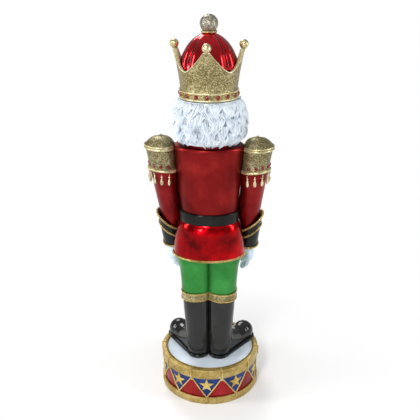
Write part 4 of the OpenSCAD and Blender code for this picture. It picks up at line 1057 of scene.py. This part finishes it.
# Eyes: round domes set in the face, white, with a painted blue iris, a black pupil and a
# flesh-coloured upper lid.
eye_white = white_paint("white_enamel_on_eyes", "D6D8DA", "E4E6E8", "F0F2F3", rough=0.12)
iris_blue = foil_paint("blue_enamel_on_irises", "16386A", "27548E", "4A7CB4", patch=3.333, rough=0.14,
                       metal=0.2, coat=0.6)
pupil_black = black_enamel("black_gloss_enamel_on_pupils", rough=0.1, coat=0.8)
eyes = bmesh.new()
for side in (-1, 1):
    dome = turned([(0, 3.5), (1.2, 3.45), (2.4, 3.25), (3.7, 2.85), (5.0, 2.3), (6.4, 1.4), (7.8, 0.1),
                   (8.8, -1.4), (9, -3), (0, -3)], steps=40, loop=False)
    for f in dome.faces:
        out = hypot(*f.calc_center_median().xy)
        f.material_index = 2 if out < 2.3 else 1 if out < 4.9 else 0
    lid_form = bmesh.new()
    arc = [radians(18 + 18 * i) for i in range(9)]
    lid_points = [((8.8 * cos(a), 8.2 * sin(a), 0.4 + 1.8 * sin(a)), 1.7) for a in arc]
    for here, there in zip(lid_points, lid_points[1:] + lid_points[-1:]):
        hull(lid_form, here, there)
    lid_form = cast(lid_form, 0.6, 3)
    painted(lid_form, 3)
    joined(dome, lid_form)
    joined(eyes, placed(dome, on_face(20 * side, eye_z)))
piece("eyes_painted", eyes, [eye_white, iris_blue, pupil_black, flesh], "white_paint", "eyes")


# Hair, beard, moustache and brows: thick waves modelled lock by lock, the hair over a full scalp and
# the rest cast with soft roots, then painted a cool pearl white, with a painted grey shade between the
# locks.

# Pearl white paint: cool and satin, with fine combed grooves along the hair.
pearl_white, tree, spot, shader = finish_named("pearl_white_paint_on_hair")
comb = add(tree, "Mapping", {"Vector": spot, "Scale": (1.0, 1.0, 0.16)})
strand = add(tree, "TexNoise", {"Vector": comb.outputs["Vector"], "Scale": per_metre(1.613), "Detail": 3.0,
                                "Distortion": 0.6})
cloud = add(tree, "TexNoise", {"Vector": spot, "Scale": per_metre(16.667), "Detail": 3.0})
both = add(tree, "Mix", {"Factor": 0.5, "A": cloud.outputs["Fac"], "B": strand.outputs["Fac"]})
tone = add(tree, "ValToRGB", {"Fac": both.outputs["Result"]},
           ((0.32, "BCC8D4"), (0.5, "D6DFE8"), (0.7, "EEF3F7"))).outputs["Color"]
# Painted shade: a grey tone over the groove layer, in the hollows between locks.
hollow_shade = add(tree, "Attribute", attribute_name="groove_shade")
tone = add(tree, "Mix", {"Factor": hollow_shade.outputs["Fac"], "A": tone, "B": linear("A4B0BE")},
           data_type="RGBA").outputs["Result"]
bump = add(tree, "Bump", {"Height": strand.outputs["Fac"], "Strength": 0.35, "Distance": 0.0014})
spread = add(tree, "MapRange", {"Value": both.outputs["Result"], "To Min": 0.24, "To Max": 0.46})
feed(tree, shader, {"Base Color": tone, "Normal": bump.outputs["Normal"],
                    "Roughness": spread.outputs["Result"], "Coat Weight": 0.5, "Coat Roughness": 0.16})


def lock(bm, path, width, depth, ridges=3, twist=0.0, sides=16, steps=12):
    """One lock: a ridged form, fullest in its upper half and pointed at its tip, along path(u)."""
    def edge(u, a):
        at, out, across = path(u)
        full = sin(pi * (0.17 + 0.81 * u)) ** 0.85
        comb = 1 + 0.12 * cos(2 * ridges * a + twist)
        return at + (across * cos(a) * width + out * sin(a) * depth) * full * comb
    part = column([i / steps for i in range(steps + 1)], edge, sides)
    bmesh.ops.triangulate(part, faces=part.faces)
    joined(bm, part)


def shade_in_hollows(bm):
    """Marks the hollows between locks for a painted grey shade: below the mean of what is round."""
    layer = bm.verts.layers.float.new("groove_shade")
    for v in bm.verts:
        round_it = [e.other_vert(v).co for e in v.link_edges]
        mean = sum(round_it, Vector()) / len(round_it)
        v[layer] = clamped((mean - v.co).dot(v.normal) * 4.5)
    for _ in range(2):
        soft = []
        for v in bm.verts:
            near = [e.other_vert(v)[layer] for e in v.link_edges]
            soft.append(0.5 * v[layer] + 0.5 * sum(near) / len(near))
        for v, value in zip(bm.verts, soft):
            v[layer] = value
    return bm


def round_head(turn, r, z):
    """A place round the head at an angle in degrees from the back, its outward and its sideways way."""
    a = radians(turn)
    out = Vector((sin(a), cos(a), 0))
    return out * r + Vector((0, stand_back, z)), out, Vector((cos(a), -sin(a), 0))


def spread_by(v, times):
    """Moves a point to so many times its distance from the head's axis."""
    v.co.x, v.co.y = v.co.x * times, (v.co.y - stand_back) * times + stand_back


def hair_full(z):
    """How far the hair stands from the head's axis at a height."""
    t = clamped((z - 646) / 94)
    return 61 + 19 * sin(pi * min(1.0, 0.16 + 0.80 * t ** 0.9)) ** 0.6


inner_r, scalp_r, collar_r = 56.6, 56.3, 52.0
random.seed(12)
hair = bmesh.new()
bmesh.ops.create_grid(hair, x_segments=57, y_segments=24, size=1.0)
for v in hair.verts:
    z = 648 + 45.5 * (v.co.y + 1)
    v.co = round_head(111 * v.co.x, hair_full(z) - 2.6, z)[0]
sheet = bmesh.ops.extrude_face_region(hair, geom=hair.faces[:])["geom"]
for v in verts_of(sheet):
    spread_by(v, inner_r / hypot(v.co.x, v.co.y - stand_back))
bmesh.ops.recalc_face_normals(hair, faces=hair.faces)
for row, (z_root, length) in enumerate(((737, 25), (724, 27), (709, 27), (695, 27), (681, 27), (668, 26))):
    for k in range(19):
        turn = 112 * (2 * (k + 0.25 - 0.5 * (row % 2)) / 18 - 1) + random.uniform(-3, 3)
        lean, curl = random.uniform(-11, 11), random.uniform(-8, 8)
        lift = random.uniform(0.0, 8.0) if row < 5 else random.uniform(-8.0, -4.0)
        start = min(738.0, z_root + random.uniform(-4, 4))
        for strand in range(-3, 4):
            side = strand / 3 + random.uniform(-0.08, 0.08)
            reach = length * (1 - 0.2 * side * side) * random.uniform(0.9, 1.08)
            proud = random.uniform(-0.6, 1.4)

            def wave(u):
                z = start - reach * u
                over = side * (8.6 - 4.4 * u * u) + lean * u ** 1.4 + curl * sin(1.5 * pi * u) * 0.5
                full = 2.6 * sin(pi * min(1.0, 0.1 + 0.9 * u))
                r = hair_full(z) - 2.2 + proud + full + lift * u * u
                return round_head(max(-116, min(116, turn + degrees(over / r))), r, max(z, 640))
            lock(hair, wave, random.uniform(1.5, 2.1), random.uniform(2.8, 3.8), ridges=1,
                 twist=random.uniform(0, 6), sides=8, steps=8)
for side in (-1, 1):
    for k in range(24):
        r, start, reach = random.uniform(60, 76), random.uniform(664, 738), random.uniform(22, 30)
        sway = random.uniform(-3, 3)

        def wave(u):
            at, out, across = round_head(side * (111.5 + 2 * sin(pi * u)),
                                         r + sway * sin(5 * u), start - reach * u)
            return at, across * side, out
        lock(hair, wave, random.uniform(2.2, 3.2), random.uniform(2.4, 3.2), ridges=1, sides=8, steps=8)
# Painted shade: the groove layer greys each point the deeper it lies inside the hair's outer surface.
depth = hair.verts.layers.float.new("groove_shade")
for v in hair.verts:
    reach = hypot(v.co.x, v.co.y - stand_back)
    if reach < scalp_r:
        spread_by(v, scalp_r / reach)
    v.co.z = min(max(v.co.z, 636.3), 739.7)
    v[depth] = clamped((hair_full(v.co.z) - 0.5 - reach) / 4.5)
piece("hair_waves", hair, pearl_white, "hair_white", "hair")

beard = bmesh.new()
beard_rows = ((672, 42, 6, 62), (664, 52, 7, 54), (655, 46, 8, 44), (648, 40, 5, 26))
for row, (z_root, length, count, spread_of) in enumerate(beard_rows):
    for k in range(count):
        turn = 180 + spread_of * (2 * (k + 0.5) / count - 1)
        if row == 0 and abs(turn - 180) < 24:
            continue
        sway = random.choice((-1, 1)) * random.uniform(3, 7)
        reach_by = length * random.uniform(0.9, 1.08) - 14 * abs(turn - 180) / 62

        def wave(u):
            z = z_root - reach_by * u
            r = 57.5 + 1.5 * row * 0.6 + 6.5 * sin(pi * min(1.0, 0.15 + 0.75 * u)) + 3 * u
            gather = (turn - 180) * (1 - 0.28 * u) + degrees(sway * sin(2 * pi * u * 0.8) / r)
            return round_head(180 + gather, r, z)
        lock(beard, wave, random.uniform(8.0, 10.0), random.uniform(6.0, 7.5), twist=random.uniform(0, 6),
             steps=16)
beard = cast(beard, 1.3, 1)
for v in beard.verts:
    reach = hypot(v.co.x, v.co.y - stand_back)
    if v.co.z > 640 and reach < inner_r:
        spread_by(v, inner_r / reach)
    if v.co.z < 650 and reach < collar_r:
        spread_by(v, collar_r / reach)
    v.co.z = max(v.co.z, 604)
beard.normal_update()
# Painted grey shade in the beard's hollows.
piece("beard_waves", shade_in_hollows(beard), pearl_white, "hair_white", "beard")


def face_frame(x, z, out):
    """A place on the face for lock(): the point, its outward side and the side that points up."""
    m = on_face(x, z, out)
    return m.translation, m.to_3x3() @ Vector((0, 0, 1)), m.to_3x3() @ Vector((0, 1, 0))


moustache = bmesh.new()
for side in (-1, 1):
    for lift, long_by, width in ((0.0, 37, 5.4), (-2.6, 31, 4.6)):
        def sweep(u):
            z = 687 + lift - 5 * sin(pi * u * 0.85) + 13 * max(0.0, u - 0.55) ** 1.3
            return face_frame(side * (1.5 + long_by * u), z, 3.0 - 1.2 * u)
        lock(moustache, sweep, width, 5.0, twist=1.0, steps=18)
# Painted grey shade in the moustache's hollows.
piece("moustache_waves", shade_in_hollows(cast(moustache, 0.9, 1)), pearl_white, "hair_white", "moustache")
brows = bmesh.new()
for side in (-1, 1):
    for lift in (0.0, 2.4):
        def sweep(u):
            z = 726.5 + lift + 4 * sin(pi * (0.15 + 0.7 * u))
            return face_frame(side * (9 + 23 * u), z, 1.2)
        lock(brows, sweep, 3.4, 3.2, twist=2.0)
# Painted grey shade in the brows' hollows.
piece("brow_tufts", shade_in_hollows(cast(brows, 0.8, 1)), pearl_white, "hair_white", "eyebrows")


# Crown: a flared ring of four tall points with deep curved valleys between them, glittered gold,
# standing on a beaded band that is set with red stones. It slips over the head.
crown_z, band_h, valley_h, crown_top = 740.0, 20.0, 62.0, 105.0


def crown_out(z):
    """Outer radius of the crown's wall at a height above its foot."""
    return 62.5 + 14 * (max(0.0, z - band_h) / (crown_top - band_h)) ** 1.4


def crown_edge_z(a):
    """Height of the crown's upper edge at an angle: a valley between each two points."""
    gap = (degrees(a) % 90) - 45
    z = valley_h
    for _ in range(8):
        off = abs(crown_out(z) * sin(radians(gap))) / 49.5
        z = min(crown_top, valley_h + (crown_top - valley_h) * off ** 1.55)
    return z


edge_at = {}


def crown_edge(level, a):
    kind, value, proud = level
    if kind == "band":
        r, z = value, proud
    else:
        key = round(degrees(a) * 8)
        if key not in edge_at:
            edge_at[key] = crown_edge_z(a)
        top = edge_at[key]
        z = band_h + (top - band_h) * value if kind == "wall" else top + value
        wall = 5 + 5 * max(0.0, (z - valley_h) / (crown_top - valley_h))
        r = crown_out(z) + (proud if proud >= 0 else proud * wall / 5)
    return (r * cos(a), r * sin(a) + stand_back, crown_z + z)


crown_band = [(57, 0.2), (62.4, 0.2)] + bead(62.6, 2.7, 2.5, -80, 75, 6) + [(63.2, 6.0), (63.2, 14.2)]
crown = [("band", r, z) for r, z in crown_band + bead(62.6, 17.3, 2.4, -75, 60, 6)]
crown += [("wall", t, 0.0) for t in (0.02, 0.1, 0.2, 0.3, 0.4, 0.5, 0.6, 0.7, 0.8, 0.88)]
rim = ((-4.2, 0.0), (-3.4, 0.5), (-2.4, 0.9), (-1.2, 0.8), (-0.3, 0.0), (0.0, -2.4), (-0.3, -4.6),
       (-1.4, -5.2), (-3.0, -5.0))
crown += [("rim", up, proud) for up, proud in rim]
crown += [("wall", t, -5.0) for t in (0.85, 0.7, 0.5, 0.3, 0.1)] + [("band", 57.0, 18), ("band", 56.6, 8)]
crown = ringed(column(crown, crown_edge, 288))


# Painted highlight: the band's beads and the wall along its upper edge take the paler gold.
def crown_highlight_faces(p):
    z, r = p.z - crown_z, hypot(p.x, p.y - stand_back)
    on_bead = r > 63.5 and (z < 5.2 or 15.2 < z < 19.6)
    return on_bead or z > crown_edge_z(atan2(p.y - stand_back, p.x)) - 2.2


piece("crown_glittered", highlight_or_shade_faces(crown, crown_highlight_faces), [gold_glitter, edge_gold], "gold_glitter", "crown")

stone_count = 17
on_band = Matrix.Translation((63.3, 0, 0)) @ facing_out
band_stones = bmesh.new()
for i in range(stone_count):
    a = radians(90 + 360 * i / stone_count)
    part = cabochon(5.1, 3.9)
    bezel = turned([(4.9, -0.6), (5.7, -0.6), (5.9, 0.1), (5.6, 0.7), (5.1, 0.7)], steps=24)
    painted(bezel, 1)
    joined(part, bezel)
    joined(band_stones, placed(part, Matrix.Translation((0, stand_back, crown_z + 10.1))
                               @ Matrix.Rotation(a, 4, "Z") @ on_band))
piece("crown_red_stones", band_stones, [red_stone, trim_gold], "red_stone", "crown_gems")

champagne = gold_paint("champagne_gold_enamel", "9C8C5C", "CDBE90", "F2EAD0", sparkle=0.18, metal=0.9,
                       rough=0.28)
point_balls = bmesh.new()
for i in range(4):
    part = turned([(0, -7.8), (6.0, -7.8), (6.5, -7.1), (6.3, -6.4)] + bead(0.01, 0, 9.7, -46, 90, 16),
                  steps=40, loop=False)
    bmesh.ops.translate(part, verts=part.verts, vec=wall_point(73.5, 90 * i, crown_z + 112.6))
    joined(point_balls, set_back(part))
piece("crown_point_balls", point_balls, champagne, "bright_gold", "crown_balls")


# Cap: the quilted dome inside the crown, four puffed quarters drawn in by piped seams, in the
# same candy red as the skirt but glossier.
cap_red = foil_paint("candy_red_on_cap", "A00008", "D40416", "F61428", patch=100, rough=0.16, metal=1.0,
                     coat=0.5, ripple=0.15)
cap_z = 789.0


def cap_edge(z, a):
    u = min(1.0, max(0.0, z - 15) / 73)
    r = (62.6 - 0.02 * max(0.0, 15 - z) ** 2) * (1 - u ** 1.8) ** (1 / 1.8)
    gap = abs(degrees(a) % 90 - 45)
    fade = min(1.0, (86.5 - z) / 30 + 0.3)
    r *= 1 - fade * (0.11 * exp(-(gap / 8) ** 2) - 0.07 * exp(-(gap / 2.6) ** 2))
    return (r * cos(a), r * sin(a) + stand_back, cap_z + z)


levels = [86 * (1 - (1 - i / 44) ** 1.5) for i in range(45)]
quilt = column(levels, cap_edge, 288)
# Painted shade: the faces in the creases on either side of each piped seam take a dark red.
highlight_or_shade_faces(quilt, lambda p: 2.4 < abs(degrees(atan2(p.y - stand_back, p.x)) % 90 - 45) < 4.8)
seam_shade = foil_paint("painted_shade_in_cap_seams", "30000A", "4C0208", "66040E", rough=0.3, metal=0.8,
                       coat=0.3)
piece("crown_cap_quilted", quilt, [cap_red, seam_shade], "red_cap", "crown_cap")


# Finial: a collar in bright champagne gold and a ball in champagne glitter over it, both castings,
# threaded on the steel stud that ties the crown together.
ferrule = turned([(4.5, 875.2), (16.2, 875.2), (17.3, 876.2), (17.6, 877.6), (17.2, 879), (16, 879.8),
                  (4.5, 879.9)], steps=72)
piece("finial_ferrule", set_back(ferrule), champagne, "bright_gold", "finial_collar")
silver_glitter = glitter("champagne_glitter_on_ball", "5A5444", "8E8878", "DAD6C8", metal=0.8, sparkle=0.34)
knob = turned([(4.5, 880.1), (13.6, 880.1)] + bead(0.01, 893.6, 19.3, -42, 90, 30), steps=96, loop=False)
piece("finial_glitter_ball", set_back(knob), silver_glitter, "gold_glitter", "finial_ball")


# Studio: a plain pale floor, a soft box above the viewer and a small low one, a tall one to each side,
# one that fills the front, and the camera at the photograph's height and distance behind the figure.
floor_mesh = bmesh.new()
bmesh.ops.create_circle(floor_mesh, cap_ends=True, segments=96, radius=30.0)
sheet = bpy.data.meshes.new("studio_floor")
floor_mesh.to_mesh(sheet)
floor_mesh.free()
floor = bpy.data.objects.new("studio_floor", sheet)
floor.location.z = -0.0005
bpy.context.scene.collection.objects.link(floor)
paper, tree, spot, shader = finish_named("white_paper_sweep")
path = add(tree, "LightPath")
seen = path.outputs["Is Camera Ray"]
for ray in ("Is Glossy Ray", "Is Transmission Ray"):
    seen = add(tree, "Math", {0: seen, 1: path.outputs[ray]}, operation="MAXIMUM").outputs["Value"]
apart = add(tree, "VectorMath", {0: spot}, operation="LENGTH")
glow = add(tree, "MapRange", {"Value": apart.outputs["Value"], "From Min": 0.12, "From Max": 0.5})
lift = add(tree, "Math", {0: seen, 1: glow.outputs["Result"]}, operation="MULTIPLY")
tone = add(tree, "Mix", {"Factor": lift.outputs["Value"], "A": linear("EEEEEE"), "B": (0, 0, 0, 1)},
           data_type="RGBA")
feed(tree, shader, {"Base Color": tone.outputs["Result"], "Emission Strength": lift.outputs["Value"],
                    "Emission Color": (1, 1, 1, 1), "Roughness": 1.0, "Specular IOR Level": 0.0})
sheet.materials.append(paper)

world = bpy.data.worlds.new("studio_room")
bpy.context.scene.world = world
world.use_nodes = True
tree = world.node_tree
up = add(tree, "SeparateXYZ", {"Vector": add(tree, "TexCoord").outputs["Generated"]})
level = add(tree, "MapRange", {"Value": up.outputs["Z"], "From Min": -1.0})
room = add(tree, "ValToRGB", {"Fac": level.outputs["Result"]},
           ((0.0, "D8D8D8"), (0.5, "A8A8A8"), (0.6, "8A8A8A"), (1.0, "C8C8C8")))
feed(tree, tree.nodes["Background"], {"Color": room.outputs["Color"], "Strength": 0.9})


def soft_lamp(name, place, aim, size, watts):
    """A rectangular soft box that faces a point."""
    lamp = bpy.data.lights.new(name, "AREA")
    lamp.shape = "RECTANGLE"
    lamp.size, lamp.size_y = size
    lamp.energy = watts
    made = bpy.data.objects.new(name, lamp)
    made.location = place
    made.rotation_euler = (Vector(aim) - Vector(place)).to_track_quat("-Z", "Y").to_euler()
    bpy.context.scene.collection.objects.link(made)


soft_lamp("soft_box_key", (0.5, 2.0, 2.1), (0, 0, 0.5), (0.4, 0.4), 33)
soft_lamp("soft_box_low", (0.9, 2.2, 0.75), (0, 0, 0.45), (0.3, 0.3), 9)
soft_lamp("soft_box_left", (2.2, 0.5, 1.3), (0, 0, 0.55), (0.4, 1.4), 22)
soft_lamp("soft_box_right", (-2.2, 0.5, 1.3), (0, 0, 0.55), (0.4, 1.4), 20)
soft_lamp("soft_box_front", (0.9, -2.1, 2.6), (0, 0, 0.5), (1.2, 1.2), 40)

turn = radians(3.96)
away, height, pitch = 1.4403, 1.0396, radians(21.78)
view = bpy.data.cameras.new("photo_view")
view.lens = 56.29
view.sensor_width = 36.0
camera = bpy.data.objects.new("photo_view", view)
camera.location = (-away * sin(turn), away * cos(turn), height)
look = Vector((sin(turn) * cos(pitch), -cos(turn) * cos(pitch), -sin(pitch)))
camera.rotation_euler = look.to_track_quat("-Z", "Y").to_euler()
bpy.context.scene.collection.objects.link(camera)
bpy.context.scene.camera = camera
bpy.context.scene.view_settings.view_transform = "Standard"
